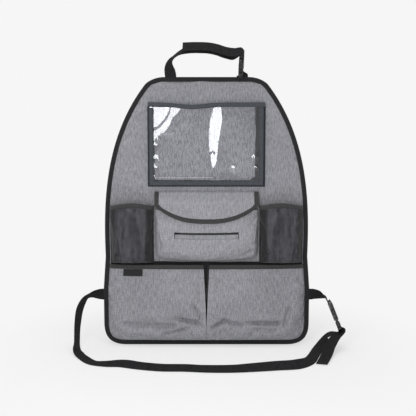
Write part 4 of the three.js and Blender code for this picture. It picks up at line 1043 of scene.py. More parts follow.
def make_label():
    """A folded woven label, bare, that hangs out of the seam under the left lower pocket's tape."""
    surface = lower_surface(0)
    top = 1 - (POCKET_TAPE_REACH + 2 * SEAM) / LOWER_HEIGHT
    low = top - LABEL_HEIGHT / LOWER_HEIGHT
    outer = float(half_width_at(FOOT_Z + LOWER_FOOT + top * LOWER_HEIGHT, POCKET_INSET))
    inner = LOWER_GAP_TOP / 2

    def u_at(x):
        return math.acos(((-x - inner) / (outer - inner)) ** (1 / LOWER_EVEN)) * 2 / math.pi

    left = LABEL_INSET - outer
    us = np.linspace(u_at(left), u_at(left + LABEL_WIDTH), 30)
    u, v = np.meshgrid(us, np.linspace(low, top, 14))
    lift = LABEL_THICKNESS + 2 * SEAM + 0.25 * (top - v) / (top - low)
    piece = grid_piece("label", skin(surface, u, v, lift))
    face_outward(piece, (0, -1, 0))
    thicken(piece, LABEL_THICKNESS)
    finish_modifier(piece, "BEVEL", width=0.25 * MM, segments=2, limit_method="ANGLE")
    shade(piece)
    dress(piece, label_satin, "label_tape", "label_loop")


# Tissue pocket and flap

def tissue_depth_at(v):
    return mix(TISSUE_DEPTH, TISSUE_MOUTH, smooth((v - 0.45) / 0.55))


def tissue_surface(u, v):
    across = evened(np.cos(math.pi * (1 - u)), 0.5)
    rise = super_rise(across, TISSUE_SQUARENESS)
    foot = ROW_FOOT + TISSUE_FOOT_RISE + TISSUE_BELLY * across * across
    z = FOOT_Z + mix(foot, ROW_FOOT + TISSUE_HEIGHT, v)
    close = super_rise(1 - np.minimum(1, v / TISSUE_FOOT_SHARE), 2.2)
    # The right corner of the foot is tucked in
    tuck = 2.2 * bump(v, 0.12, 0.08) * bump(across, 0.8, 0.18)
    edge = TISSUE_CLOTH + SEAM
    height = edge + ((tissue_depth_at(v) - edge) - tuck) * rise * close
    half = TISSUE_WIDTH / 2 - TISSUE_FOOT_TAPER * bump(v, 0, 0.12)
    return on_front(half * across, np.maximum(edge, height), z)


def slot_v(z_from_foot):
    """The height share of the tissue pocket at a height over the row's foot, in the middle of the pocket."""
    return (z_from_foot - TISSUE_FOOT_RISE) / (TISSUE_HEIGHT - TISSUE_FOOT_RISE)


def tissue_u(x):
    """The share across the tissue pocket at a place x."""
    across = x / (TISSUE_WIDTH / 2)
    return 1 - math.acos(math.copysign(abs(across) ** 2, across)) / math.pi


def make_tissue():
    slot_low, slot_high = slot_v(SLOT_FROM_FOOT), slot_v(SLOT_FROM_FOOT + SLOT_HEIGHT)
    u_left, u_right = tissue_u(-SLOT_WIDTH / 2), tissue_u(SLOT_WIDTH / 2)
    us = np.concatenate([np.linspace(0, u_left, 46), np.linspace(u_left, u_right, 60)[1:],
                         np.linspace(u_right, 1, 46)[1:]])
    vs = np.concatenate([np.linspace(0, 0.16, 16), np.linspace(0.16, slot_low, 16)[1:],
                         np.linspace(slot_low, slot_high, 8)[1:], np.linspace(slot_high, 1, 24)[1:]])
    u, v = np.meshgrid(us, vs)
    points = tissue_surface(u, v)
    x, z = points[..., 0], points[..., 2]
    free = smooth(v / 0.12) * smooth((1 - v) / 0.1) * super_rise(2 * u - 1, 4)
    tuck = crease(x, z, (72, -99), (98, -84), 7, 5) + crease(x, z, (-104, -60), (-100, -88), 3, 5)
    points[..., 1] -= free * (0.5 * waves(x, z, 50, 21) + 0.25 * waves(x, z, 22, 22) + tuck)
    piece = grid_piece("tissue_cloth", points)
    face_outward(piece, (0, -1, 0))
    hair = 1e-4
    in_slot = (u > u_left + hair) & (u < u_right - hair) & (v > slot_low + hair) & (v < slot_high - hair)
    held = vertex_flags(piece, points, (v < 0.02) | (u < 0.01) | (u > 0.99) | (v > 0.97))
    settle(piece, held, slack=0.02, frames=20, cap=3.0, pressure=0.15)
    open_slot(piece, in_slot)
    finish_sheet(piece, TISSUE_CLOTH, flap_heather, "light_heather_cloth", "tissue_pocket", crisp=60)
    lip = make_slot_lip()


def open_slot(piece, in_slot):
    """Cuts away the vertices flagged on the piece's grid, which numbers its vertices row by row."""
    work = bmesh.new()
    work.from_mesh(piece.data)
    work.verts.ensure_lookup_table()
    gone = [work.verts[i] for i in np.flatnonzero(in_slot)]
    bmesh.ops.delete(work, geom=gone, context="VERTS")
    work.to_mesh(piece.data)
    work.free()


def make_slot_lip():
    """The lower edge of the slot turns in and stands up behind the opening, so only a slit on top is dark."""
    low, high = slot_v(SLOT_FROM_FOOT - LIP_LAP), slot_v(SLOT_FROM_FOOT + SLOT_HEIGHT - SLIT_HEIGHT)
    us = np.linspace(tissue_u(SEAM - SLOT_WIDTH / 2), tissue_u(SLOT_WIDTH / 2 - SEAM), 60)
    u, v = np.meshgrid(us, np.linspace(low, high, 12))
    lift = -mix(LIP_SINK, LIP_LEAN, smooth((v - low) / (high - low)))
    piece = grid_piece("slot_lip", skin(tissue_surface, u, v, lift))
    face_outward(piece, (0, -1, 0))
    finish_sheet(piece, TISSUE_CLOTH * 0.8, flap_heather, "light_heather_cloth")
    # Close stitches go down the slot's left end, along its foot and up its right end
    foot_u = np.linspace(us[0], us[-1], 40)
    ends = np.linspace(slot_v(SLOT_FROM_FOOT + SLOT_HEIGHT - 1), slot_v(SLOT_FROM_FOOT - 1), 8)
    line_u = np.concatenate([np.full(len(ends), us[0]), foot_u, np.full(len(ends), us[-1])])
    line_v = np.concatenate([ends, np.full(len(foot_u), ends[-1]), ends[::-1]])
    sew(skin(tissue_surface, line_u, line_v, np.full(len(line_u), 0.25)), pitch=2.0, length=1.9, thick=1.0)
    return piece


def flap_drop_at(across):
    return mix(FLAP_CENTRE_DROP, FLAP_SIDE_DROP, np.abs(across) ** 2.6)


FLAP_HALF = FLAP_WIDTH / 2 - TAPE_THICKNESS - SEAM
FLAP_INSET = POCKET_TAPE_REACH / (2 * FLAP_HALF)
FLAP_REACH = POCKET_TAPE_REACH / FLAP_SIDE_DROP


def flap_surface(u, v):
    across = 2 * u - 1
    below = (1 - v) * flap_drop_at(across)
    z = FOOT_Z + FLAP_SEAM - below
    front = tissue_depth_at((z - FOOT_Z - ROW_FOOT) / TISSUE_HEIGHT) + HOOK_STACK + FLAP_CLOTH
    edge = FLAP_CLOTH + 3 * SEAM + TAPE_THICKNESS
    crown = 1 - 0.2 * across**4
    return on_front(FLAP_HALF * across, mix(edge, front * crown + FLAP_EASE, smooth(below / FLAP_FALL)), z)


def make_flap():
    us = np.unique(np.concatenate([dense(90), [FLAP_INSET, 1 - FLAP_INSET]]))
    u, v = np.meshgrid(us, np.linspace(0, 1, 50))
    points = flap_surface(u, v)
    x, z = points[..., 0], points[..., 2]
    free = smooth((1 - v) / 0.3) * smooth(v / 0.2)
    points[..., 1] -= free * (0.5 * waves(x, z, 55, 31) + 0.2 * waves(x, z, 24, 32))
    piece = grid_piece("flap_cloth", points)
    face_outward(piece, (0, -1, 0))
    finish_sheet(piece, FLAP_CLOTH, flap_heather, "light_heather_cloth", "pocket_flap", crisp=60)

    sides = np.linspace(0.1, 1, 16)
    left = [(0, s, FLAP_INSET, max(s, FLAP_REACH)) for s in sides[::-1]]
    right = [(1, s, 1 - FLAP_INSET, max(s, FLAP_REACH)) for s in sides]
    foot = []
    for s in dense(110, 0.6):
        turn = float(smooth(min(s, 1 - s) / 0.07))
        inward = mix(math.copysign(FLAP_INSET, 0.5 - s), 0, turn)
        foot.append((s, 0, s + inward, POCKET_TAPE_REACH / float(flap_drop_at(2 * s - 1))))
    band = bind_edge("flap_tape", flap_surface, [*left, *foot, *right], FLAP_CLOTH, 0.2, 5, pocket_tape,
                     "flap_binding")
    across = np.linspace(0.02, 0.98, 60)
    sew(skin(flap_surface, across, np.full(60, 0.97), np.full(60, 0.2)))


def tape_patch(name, points, node):
    piece = grid_piece(name, points)
    face_outward(piece, (0, -1, 0))
    thicken(piece, HOOK_TAPE_THICKNESS)
    finish_modifier(piece, "BEVEL", width=0.3 * MM, segments=2, limit_method="ANGLE")
    shade(piece)
    dress(piece, pile, "hook_and_loop", node)


def make_closure():
    """Loop tape on the tissue pocket, and hook tape that faces it inside the flap."""
    z0 = FOOT_Z + FLAP_SEAM - FLAP_CENTRE_DROP + POCKET_TAPE_REACH + HOOK_TAPE_RISE
    u, v = np.meshgrid(np.linspace(0, 1, 30), np.linspace(0, 1, 8))
    x, z = (u - 0.5) * HOOK_TAPE_WIDTH, z0 + v * HOOK_TAPE_HEIGHT
    share = (z - FOOT_Z - ROW_FOOT - TISSUE_FOOT_RISE) / (TISSUE_HEIGHT - TISSUE_FOOT_RISE)
    rise = super_rise(2 * x / TISSUE_WIDTH, TISSUE_SQUARENESS)
    lift = 2 * SEAM + HOOK_TAPE_THICKNESS
    tape_patch("loop_strip", on_front(x, tissue_depth_at(share) * rise + lift, z), "loop_tape")
    u_low = 0.5 - HOOK_TAPE_WIDTH / (4 * FLAP_HALF)
    v_low = (POCKET_TAPE_REACH + HOOK_TAPE_RISE) / FLAP_CENTRE_DROP
    v_high = v_low + HOOK_TAPE_HEIGHT / FLAP_CENTRE_DROP
    inside = np.full(u.shape, -(FLAP_CLOTH + SEAM))
    under = skin(flap_surface, mix(u_low, 1 - u_low, u), mix(v_low, v_high, v), inside)
    tape_patch("hook_strip", under, "hook_tape")


# Mesh pockets

MESH_INNER = TISSUE_WIDTH / 2 + MESH_GAP
MESH_TAPE_V = 1 - POCKET_TAPE_REACH / MESH_HEIGHT


def mesh_surface(phase):
    def surface(u, v):
        across = evened(np.cos(math.pi * (1 - u)), 0.8)
        rise = super_rise(across, MESH_SQUARENESS)
        z = FOOT_Z + ROW_FOOT + v * (MESH_HEIGHT + MESH_ARCH * (1 - across * across))
        outer = half_width_at(z, POCKET_INSET)
        centre, half = (outer + MESH_INNER) / 2, (outer - MESH_INNER) / 2
        depth = mix(MESH_DEPTH, MESH_MOUTH, smooth((v - 0.3) / 0.7))
        close = super_rise(1 - np.minimum(1, v / MESH_FOOT_SHARE), 2.2)
        edge = MESH_CLOTH + SEAM + tape_lift(v, MESH_TAPE_V)
        fold = -MESH_FOLD * bump(across, -0.55 + 0.15 * phase, 0.12) * bump(v, 0.75, 0.3) * rise
        return on_front(-centre + half * across, edge + ((depth - edge) * rise + fold) * close, z)
    return surface


def make_mesh_pocket(side, phase, seed):
    """One mesh pocket, built as the left one. phase shifts its deep fold and seed draws its small waves."""
    surface = mesh_surface(phase)
    flip = side == "right"
    u, v = np.meshgrid(dense(80), np.unique(np.concatenate([dense(70) ** 1.15, [MESH_TAPE_V]])))
    points = surface(u, v)
    x, z = points[..., 0], points[..., 2]
    free = smooth(v / 0.1) * (1 - smooth((v - 0.88) / 0.08)) * super_rise(2 * u - 1, 3)
    points[..., 1] -= free * (2.4 * waves(x, z * 0.15, 20, seed) + 0.8 * waves(x, z * 0.5, 14, seed + 1))
    if flip:
        points = mirror_points(points)
    piece = grid_piece(f"{side}_mesh_cloth", points)
    face_outward(piece, (0, -1, 0))
    held = vertex_flags(piece, points, (v < 0.02) | (u < 0.01) | (u > 0.99) | (v > MESH_TAPE_V - 0.005))
    settle(piece, held, slack=0.03, frames=20, cap=4.0)
    keep_in_front(piece, FRONT_Y - SEAM)
    finish_sheet(piece, MESH_NET, mesh_cloth, "mesh", f"{side}_mesh_pocket", crisp=60)
    stations = [(s, 1, s, MESH_TAPE_V) for s in dense(90)]
    band = bind_edge(f"{side}_mesh_tape", surface, stations, MESH_CLOTH, 0.3, seed, pocket_tape,
                     f"{side}_mesh_binding", flip)


# Tablet pocket

TABLET_HALF = TABLET_WIDTH / 2 - TABLET_FLANGE - TABLET_INSET
TABLET_INNER = TABLET_HEIGHT - TABLET_FLANGE - TABLET_INSET
FILM_TAPE = 2 * (TAPE_THICKNESS + SEAM) + FILM_THICKNESS
FILM_TAPE_V = POCKET_TAPE_REACH / TABLET_INNER
FILM_TAPE_U = POCKET_TAPE_REACH / (2 * TABLET_HALF)
FILM_FOOT_Z = FOOT_Z + TABLET_FOOT + TABLET_FLANGE + TABLET_INSET


# The main fold, from its foot up to the mouth: height, its middle and half its width
MAIN_FOLD = [(95, 16, 0.5), (122, 16.6, 6.6), (156, 16.2, 10.4), (189, 18.8, 13), (211, 22, 13.9),
             (238, 24.5, 8.5), (262, 26, 7)]
# The lower edge of the leaning corner, and the flat crescent inside it: x and z
LEANING_CORNER = [(-117, 179), (-100, 180), (-89, 189), (-80, 201), (-74, 216), (-64, 222), (-54, 236)]
FLAT_CRESCENT = [(-114, 190), (-99, 202), (-88, 216), (-81, 229), (-78, 245)]


def film_mask(x, z):
    """Where the film leans to the left: strongly in the main fold, gently in its top left corner."""
    fold_z, middles, halves = np.array(MAIN_FOLD).T
    centre, half = np.interp(z, fold_z, middles), np.interp(z, fold_z, halves)
    strong = smooth((half - np.abs(x - centre)) / 2.4 + 0.5) * smooth((z - fold_z[0] - 1) / 14)
    right_end = LEANING_CORNER[-1][0]
    curve = np.interp(x, *np.array(LEANING_CORNER).T)
    gentle = smooth((z - curve) / 20 + 0.5) * smooth((right_end - x) / 8 + 0.5)
    crescent = np.interp(x, *np.array(FLAT_CRESCENT).T)
    return strong, gentle * (1 - 0.95 * bump(z, crescent, 5) * smooth((-74 - x) / 5))


# Slopes at which the film mirrors each strip lamp into the camera
TALL_STRIP_SLOPE = 0.14
NARROW_STRIP_SLOPE = 0.064

# Small dents in the film: x, z, width and depth
DIMPLES = [(109, 129, 6, 2.0), (112, 106, 4, 1.2), (-107, 166, 6, 1.8), (-106, 120, 8, 2.2),
           (66, 104, 9, 1.8), (14, 138, 4, -0.5)]


def film_relief():
    """Heights of the film over its flat place. Each row's slopes are added up from the left edge. What they
    come to left of the main fold, and from there on, is taken back evenly over the rest of that stretch."""
    x = np.linspace(-TABLET_HALF, TABLET_HALF, 360)
    z = np.linspace(FILM_FOOT_Z, FILM_FOOT_Z + TABLET_INNER, 260)
    across, up = np.meshgrid(x, z)
    strong, gentle = film_mask(across, up)
    slope = TALL_STRIP_SLOPE * strong + NARROW_STRIP_SLOPE * gentle
    fold_left = (strong.cumsum(axis=1) < 0.02) & (across < 16)
    for side in (fold_left, ~fold_left):
        rest = side * (1 - np.maximum(strong, gentle)) + 1e-6
        slope = slope - rest * (slope * side).sum(axis=1, keepdims=True) / rest.sum(axis=1, keepdims=True)
    height = np.cumsum(slope, axis=1) * (x[1] - x[0])
    ridge = 3.0 * bump(up, FILM_FOOT_Z + 14, 3.2) * smooth((50 - across) / 45) * smooth((across + 122) / 8)
    dimples = sum(deep * bump(across, at_x, wide) * bump(up, at_z, wide)
                  for at_x, at_z, wide, deep in DIMPLES)
    return x, z, (height + ridge + dimples) * smooth((up - FILM_FOOT_Z - 3) / 9)


FILM_X, FILM_Z, FILM_HEIGHTS = film_relief()


def film_lift(x, z):
    """The relief at any place on the film, read between its rows and columns."""
    i = np.clip((x - FILM_X[0]) / (FILM_X[1] - FILM_X[0]), 0, len(FILM_X) - 1.001)
    j = np.clip((z - FILM_Z[0]) / (FILM_Z[1] - FILM_Z[0]), 0, len(FILM_Z) - 1.001)
    a, b = i.astype(int), j.astype(int)
    low = mix(FILM_HEIGHTS[b, a], FILM_HEIGHTS[b, a + 1], i - a)
    high = mix(FILM_HEIGHTS[b + 1, a], FILM_HEIGHTS[b + 1, a + 1], i - a)
    return mix(low, high, j - b)


def film_surface(u, v):
    across = 2 * u - 1
    dip = FILM_DIP * bump(across, -0.25, 0.32) * smooth((v - 0.55) / 0.45)
    x, z = TABLET_HALF * across, FILM_FOOT_Z + v * TABLET_INNER - dip
    return on_front(x, TABLET_DEPTH + film_lift(x, z), z)


def film_side_stations():
    """Where the tape goes down the film's left side, along its foot and up its right side."""
    heights = np.linspace(1 - 1.3 * FILM_TAPE_V, 0.1, 40)
    left = [(0, s, FILM_TAPE_U, max(s, FILM_TAPE_V)) for s in heights]
    right = [(1, s, 1 - FILM_TAPE_U, max(s, FILM_TAPE_V)) for s in heights[::-1]]
    foot = [(s, 0, s, FILM_TAPE_V) for s in np.linspace(FILM_TAPE_U, 1 - FILM_TAPE_U, 70)]
    corner = 0.02 * FILM_TAPE_V
    left.append((0, corner, FILM_TAPE_U, FILM_TAPE_V))
    foot.append((1, corner, 1 - FILM_TAPE_U, FILM_TAPE_V))
    return [*left, *foot, *right]


def make_tablet_film():
    u, v = np.meshgrid(np.linspace(0, 1, 220), np.linspace(0, 1, 170))
    piece = grid_piece("tablet_film", film_surface(u, v))
    face_outward(piece, (0, -1, 0))
    finish_sheet(piece, FILM_THICKNESS, film_vinyl, "clear_film", "tablet_window", crisp=60)
    side_tape = bind_edge("tablet_side_tape", film_surface, film_side_stations(), FILM_THICKNESS, 0.15, 8,
                          frame_tape, "tablet_side_binding")
    past = TOP_TAPE_PAST / (2 * TABLET_HALF)
    mouth = [(s, 1, s, 1 - FILM_TAPE_V) for s in np.linspace(-past, 1 + past, 120)]
    top_tape = bind_edge("tablet_top_tape", film_surface, mouth, FILM_THICKNESS, 0.3, 9, frame_tape,
                         "tablet_top_binding")


def frame_line(inset):
    """A line along the sides and foot of the tablet pocket, at an inset from its outer edge."""
    half, low = TABLET_WIDTH / 2 - inset, FOOT_Z + TABLET_FOOT + inset
    high = FOOT_Z + TABLET_FOOT + TABLET_HEIGHT - POCKET_TAPE_REACH
    corners = np.array([(-half, high), (-half, low), (half, low), (half, high)], float)
    legs = [mix(a, b, np.linspace(0, 1, count, endpoint=False)[:, None])
            for a, b, count in zip(corners, corners[1:], (40, 60, 40))]
    return np.concatenate([*legs, corners[-1:]])


def make_tablet_frame():
    """The gusset under the film's edge, from its sewn flange up to the film, and its loose black lining."""
    lift = TABLET_DEPTH - FILM_TAPE + 2 * SEAM
    bend = TABLET_FLANGE + TABLET_INSET
    half = GUSSET_CLOTH / 2
    section = [(0, SEAM + half), (TABLET_FLANGE - 1, SEAM + half), (TABLET_FLANGE + 0.2, SEAM + half + 0.5),
               (bend - 1.2, lift - half - 0.6), (bend - 0.2, lift - half), (bend + GUSSET_LEDGE, lift - half)]
    points = np.array([on_line(frame_line(inset), FRONT_Y - height) for inset, height in section])
    piece = grid_piece("tablet_frame", points)
    face_outward(piece, (0, -1, 0))
    finish_sheet(piece, GUSSET_CLOTH, frame_cloth, "black_cloth", "tablet_gusset", offset=0.0)

    under, inner = frame_line(bend + 3), frame_line(bend + POCKET_TAPE_REACH)
    count = len(under)
    right = smooth((under[:, 0] - 100) / 20)
    loose = mix(1.2, 8.5, right) + mix(0.8, 1.4, right) * waves(np.arange(count) * 4.5, 0.0, 34, 83)
    far = mix(inner, frame_line(bend + POCKET_TAPE_REACH + 10), np.maximum(0.05, loose / 10)[:, None])
    folds = [(under, lift - 1.6), (inner, lift - 1.8), (mix(inner, far, 0.6), lift - 2), (far, lift - 2.6)]
    lining = grid_piece("frame_lining", np.array([on_line(line, FRONT_Y - height) for line, height in folds]))
    face_outward(lining, (0, -1, 0))
    finish_sheet(lining, 0.4, black_cloth, "black_cloth")


# Webbing

def curve_points(points, shares):
    """Places on a centripetal Catmull-Rom curve through the points, at shares of its run by knots."""
    p = np.asarray(points, float)
    extended = np.concatenate([[2 * p[0] - p[1]], p, [2 * p[-1] - p[-2]]])
    at = np.asarray(shares) * (len(p) - 1)
    base = np.minimum(at.astype(int), len(p) - 2)
    t = (at - base)[:, None]
    p0, p1, p2, p3 = (extended[base + i] for i in range(4))

    def gap(a, b):
        return np.sqrt(np.linalg.norm(b - a, axis=1, keepdims=True))

    d0, d1, d2 = gap(p0, p1), gap(p1, p2), gap(p2, p3)
    d1 = np.where(d1 < 1e-4, 1.0, d1)
    d0, d2 = np.where(d0 < 1e-4, d1, d0), np.where(d2 < 1e-4, d1, d2)
    m1 = ((p1 - p0) / d0 - (p2 - p0) / (d0 + d1) + (p2 - p1) / d1) * d1
    m2 = ((p2 - p1) / d1 - (p3 - p1) / (d1 + d2) + (p3 - p2) / d2) * d1
    return p1 + m1 * t + (-3 * p1 + 3 * p2 - 2 * m1 - m2) * t**2 + (2 * p1 - 2 * p2 + m1 + m2) * t**3


def make_webbing(name, knots, node, steps=9):
    """Flat webbing along knots, each the place of its middle and the way its width points."""
    places = np.array([k[0] for k in knots], float)
    widths = unit(np.array([k[1] for k in knots], float))
    shares = np.linspace(0, 1, steps * (len(knots) - 1) + 1)
    centre = curve_points(places, shares)
    along = unit(np.gradient(centre, axis=0))
    width = curve_points(widths, shares)
    width = unit(width - along * (width * along).sum(axis=1, keepdims=True))
    points = np.array([centre + width * side * WEBBING / 2 for side in np.linspace(-1, 1, 11)])
    run = np.concatenate([[0], np.cumsum(np.linalg.norm(np.diff(centre, axis=0), axis=1))])
    across = np.linspace(-WEBBING / 2, WEBBING / 2, 11)[:, None]
    uv = np.stack(np.broadcast_arrays(run, across), axis=-1)
    piece = grid_piece(name, points, uv=uv)
    thicken(piece, WEBBING_THICKNESS, offset=0.0)
    finish_modifier(piece, "BEVEL", width=0.35 * MM, segments=2, limit_method="ANGLE",
                    angle_limit=math.radians(50))
    shade(piece)
    dress(piece, webbing_cloth, "webbing", node)


class BuckleAxes:
    """A buckle's own axes: origin at the socket's bar, x across, y along and z through its thickness."""

    def __init__(self, origin, along, across):
        self.origin = np.array(origin, float)
        self.y = unit(np.array(along, float))
        across = np.array(across, float)
        self.x = unit(across - self.y * across.dot(self.y))
        self.z = np.cross(self.x, self.y)

    def at(self, a, b, c):
        return self.origin + self.x * a + self.y * b + self.z * c


headrest_buckle = BuckleAxes((HEADREST_ROOT - 3, -9, TOP_Z + 12), (0, -0.7, 0.714), (0.1, 0.71, 0.7))
waist_buckle = BuckleAxes((PANEL_WIDTH / 2 + 50, -27, FOOT_Z + WAIST_ROOT - 16), (0.36, -0.27, -0.9),
                          (0.09, 0.96, -0.26))
WRAP_RADIUS = math.hypot(BAR_THICKNESS, SOCKET_BAR) / 2 + SEAM + WEBBING_THICKNESS / 2


def wrap_knots(buckle, width, bar_at, side, outward):
    knots = []
    for degrees in (-90, -45, 0, 45, 90):
        angle = math.radians(degrees)
        reach = WRAP_RADIUS * math.cos(angle) * outward
        knots.append((buckle.at(0, bar_at + reach, side * WRAP_RADIUS * math.sin(angle)), width))
    return knots


def tab_knots(buckle, width, side):
    def pressed(share):
        return side * (WRAP_RADIUS - share * WEBBING_THICKNESS)

    return [(buckle.at(0, -TAB_LAP, -pressed(0.4)), width), *wrap_knots(buckle, width, 0, side, 1),
            (buckle.at(0, -TAB_LAP, pressed(0.6)), width), (buckle.at(0, -TAB_TAIL, pressed(1)), width)]


def plug_knots(buckle, width, side):
    return [(buckle.at(0, END_BAR_AT + 3, -side * WRAP_RADIUS), width),
            *wrap_knots(buckle, width, INNER_BAR_AT, side, -1),
            (buckle.at(0, END_BAR_AT + 3, side * WRAP_RADIUS), width)]


def root_knots(edge, outward, width):
    edge, outward = np.array(edge, float), np.array(outward, float)
    return [(edge + outward * out, width) for out in (-ROOT_DEPTH, 0, BINDING_WALL, 3 * BINDING_WALL)]


def make_headrest_webbing():
    tab = [*root_knots((HEADREST_ROOT, ROOT_Y, TOP_Z), (0, 0, 1), (1, 0, 0)),
           ((HEADREST_ROOT, ROOT_Y - 1, TOP_Z + 5), (0.85, 0.35, 0.35)),
           *tab_knots(headrest_buckle, headrest_buckle.x, -1)]
    make_webbing("headrest_tab_webbing", tab, "headrest_tab")
    root, leaning = -HEADREST_ROOT, (0, 0.75, 0.66)

    def run(x, rise, y, width):
        return ((x, y, TOP_Z + rise), width)

    long_strap = [
        *root_knots((root, ROOT_Y, TOP_Z), (0, 0, 1), (-1, 0, 0)),
        run(root - 1.5, 16, -6, (-0.95, 0.3, 0)),
        run(root - 0.5, 29, -11, (-0.62, 0.78, 0)),
        run(root + 5, 42, -17, (-0.15, 0.98, 0.1)),
        run(root + 17, 53, -22, (0, 0.96, 0.28)),
        run(root + 34, 60, -25, (0, 0.86, 0.5)),
        run(root + 60, 63.5, -28, leaning),
        run(root + 84, 62.5, -31, leaning),
        run(root + 102, 59, -35, leaning),
        run(root + 120, 53, -40, leaning),
        run(root + 137, 50, -45, leaning),
        (headrest_buckle.at(0, END_BAR_AT + 9, -5.2), leaning),
        *plug_knots(headrest_buckle, headrest_buckle.x, 1),
        (headrest_buckle.at(0, END_BAR_AT + 11, -1), leaning),
        run(root + 139, 57, -49, leaning),
        run(root + 120, 59.5, -44, leaning),
        run(root + 102, 65, -39, leaning),
        run(root + 84, 68.5, -35, leaning),
        run(root + 56, 69.5, -31.5, leaning),
        run(root + 27, 68.5, -29, leaning),
    ]
    make_webbing("headrest_webbing", long_strap, "headrest_strap")


def lying(x, y, lean, heading):
    """Where webbing lies on the ground: lean is the tilt of its width from upright, towards heading."""
    tilt, turn = math.radians(lean), math.radians(heading)
    width = (math.sin(tilt) * math.cos(turn), math.sin(tilt) * math.sin(turn), math.cos(tilt))
    edges = WEBBING / 2 * abs(math.cos(tilt)) + WEBBING_THICKNESS / 2 * abs(math.sin(tilt))
    return ((x, y, FLOOR_Z + edges + LAY_CLEARANCE), width)


def make_waist_webbing():
    edge, level = PANEL_WIDTH / 2, FOOT_Z + WAIST_ROOT
    buckle, back = waist_buckle, -waist_buckle.x
    tab = [*root_knots((WAIST_EDGE, ROOT_Y, level), (1, 0, 0), (0, 0, 1)),
           ((edge + 15, ROOT_Y - 2, level + 1), (0.05, -0.25, 1)),
           ((edge + 29, ROOT_Y - 9, level + 1), (0.25, -0.7, 0.65)),
           ((edge + 40, ROOT_Y - 16, level - 3), (0.1, -0.96, 0.2)),
           *tab_knots(buckle, back, -1)]
    make_webbing("waist_tab_webbing", tab, "waist_tab")
    long_strap = [
        *root_knots((-WAIST_EDGE, ROOT_Y, level), (-1, 0, 0), (0, 0, 1)),
        ((-edge - 14, ROOT_Y - 2, level + 1), (-0.05, -0.25, 1)),
        ((-edge - 28, ROOT_Y - 8, level + 2), (-0.2, -0.75, 0.65)),
        ((-edge - 43, -18, level - 4), (-0.45, -0.88, 0.1)),
        ((-edge - 56, -28, level - 25), (-0.54, -0.84, 0)),
        ((-edge - 61.5, -38, level - 58), (-0.45, -0.89, 0)),
        ((-edge - 62.5, -48, level - 88), (-0.35, -0.94, 0.02)),
        ((-edge - 61, -62, level - 106), (-0.35, -0.9, 0.25)),
        lying(-edge - 55, -84, 80, 210),
        lying(-edge - 42, -112, 88, 199),
        lying(-edge - 17, -150, 93, 214),
        lying(-edge + 14, -163, 102, 262),
        lying(-edge + 46, -166, 110, 270),
        lying(-edge + 88, -183, 110, 270),
        lying(-edge + 133, -195, 110, 270),
        lying(-edge + 184, -197, 110, 270),
        lying(-edge + 226, -203, 110, 270),
        lying(edge - 172, -204, 112, 270),
        lying(edge - 130, -199, 118, 270),
        lying(edge - 78, -190, 124, 270),
        lying(edge - 36, -182, 126, 275),
        lying(edge - 8, -152, 112, 308),
        lying(edge + 8, -100, 95, 338),
        lying(edge + 20, -55, 91, 350),
        ((edge + 33, -22, FLOOR_Z + 7), (0.85, -0.5, 0.1)),
        ((edge + 47, -12, FLOOR_Z + 22), (0.4, -0.9, 0.15)),
        (buckle.at(0, END_BAR_AT + 13, WRAP_RADIUS + 1.5), back),
        *plug_knots(buckle, back, -1),
        (buckle.at(-2, END_BAR_AT + 12, -WRAP_RADIUS + 0.6), (0.35, -0.92, 0.12)),
        ((edge + 60, -60, FLOOR_Z + 33), (0.75, -0.62, 0)),
        ((edge + 47, -78, FLOOR_Z + 20), (0.92, -0.36, -0.1)),
        ((edge + 39, -100, FLOOR_Z + 10), (0.93, -0.34, -0.1)),
        ((edge + 30, -128, FLOOR_Z + 5), (0.92, -0.38, -0.05)),
        ((edge + 20, -160, FLOOR_Z + 2.6), (0.9, -0.42, 0)),
    ]
    make_webbing("waist_webbing", long_strap, "waist_strap")


def make_bartack(buckle, start, end):
    """A block of dense stitches, from start to end along the buckle, that closes a loop of webbing."""
    thick = 2 * WRAP_RADIUS - WEBBING_THICKNESS
    deselect()
    bpy.ops.mesh.primitive_cube_add(size=1, location=(0, 0, 0))
    piece = bpy.context.object
    piece.name = piece.data.name = "loop_bartack"
    for vertex in piece.data.vertices:
        x, y, z = vertex.co
        vertex.co = buckle.at(x * (WEBBING - 3), mix(start, end, y + 0.5), z * thick) * MM
    finish_modifier(piece, "BEVEL", width=0.4 * MM, segments=2, limit_method="ANGLE")
    shade(piece)
    dress(piece, thread, "webbing")


# Buckles: the frame's own mouldings, with their edges rounded as the mould leaves them

def make_buckle_half(node):
    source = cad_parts[node]
    mesh = source.data.copy()
    piece = bpy.data.objects.new(f"{node}_moulding", mesh)
    bpy.context.scene.collection.objects.link(piece)
    mesh.name = piece.name
    merge_doubles(piece, 0.00001)
    only(piece)
    bpy.ops.object.mode_set(mode="EDIT")
    bpy.ops.mesh.select_all(action="SELECT")
    bpy.ops.mesh.dissolve_limited(angle_limit=math.radians(3))
    bpy.ops.object.mode_set(mode="OBJECT")
    finish_modifier(piece, "BEVEL", width=0.45 * MM, segments=2, limit_method="ANGLE",
                    angle_limit=math.radians(35), use_clamp_overlap=True)
    shade(piece, 35)
    dress(piece, acetal, "buckle_plastic", node)


# Floor, lamps and camera

BACKGROUND = "#f6f6f6"


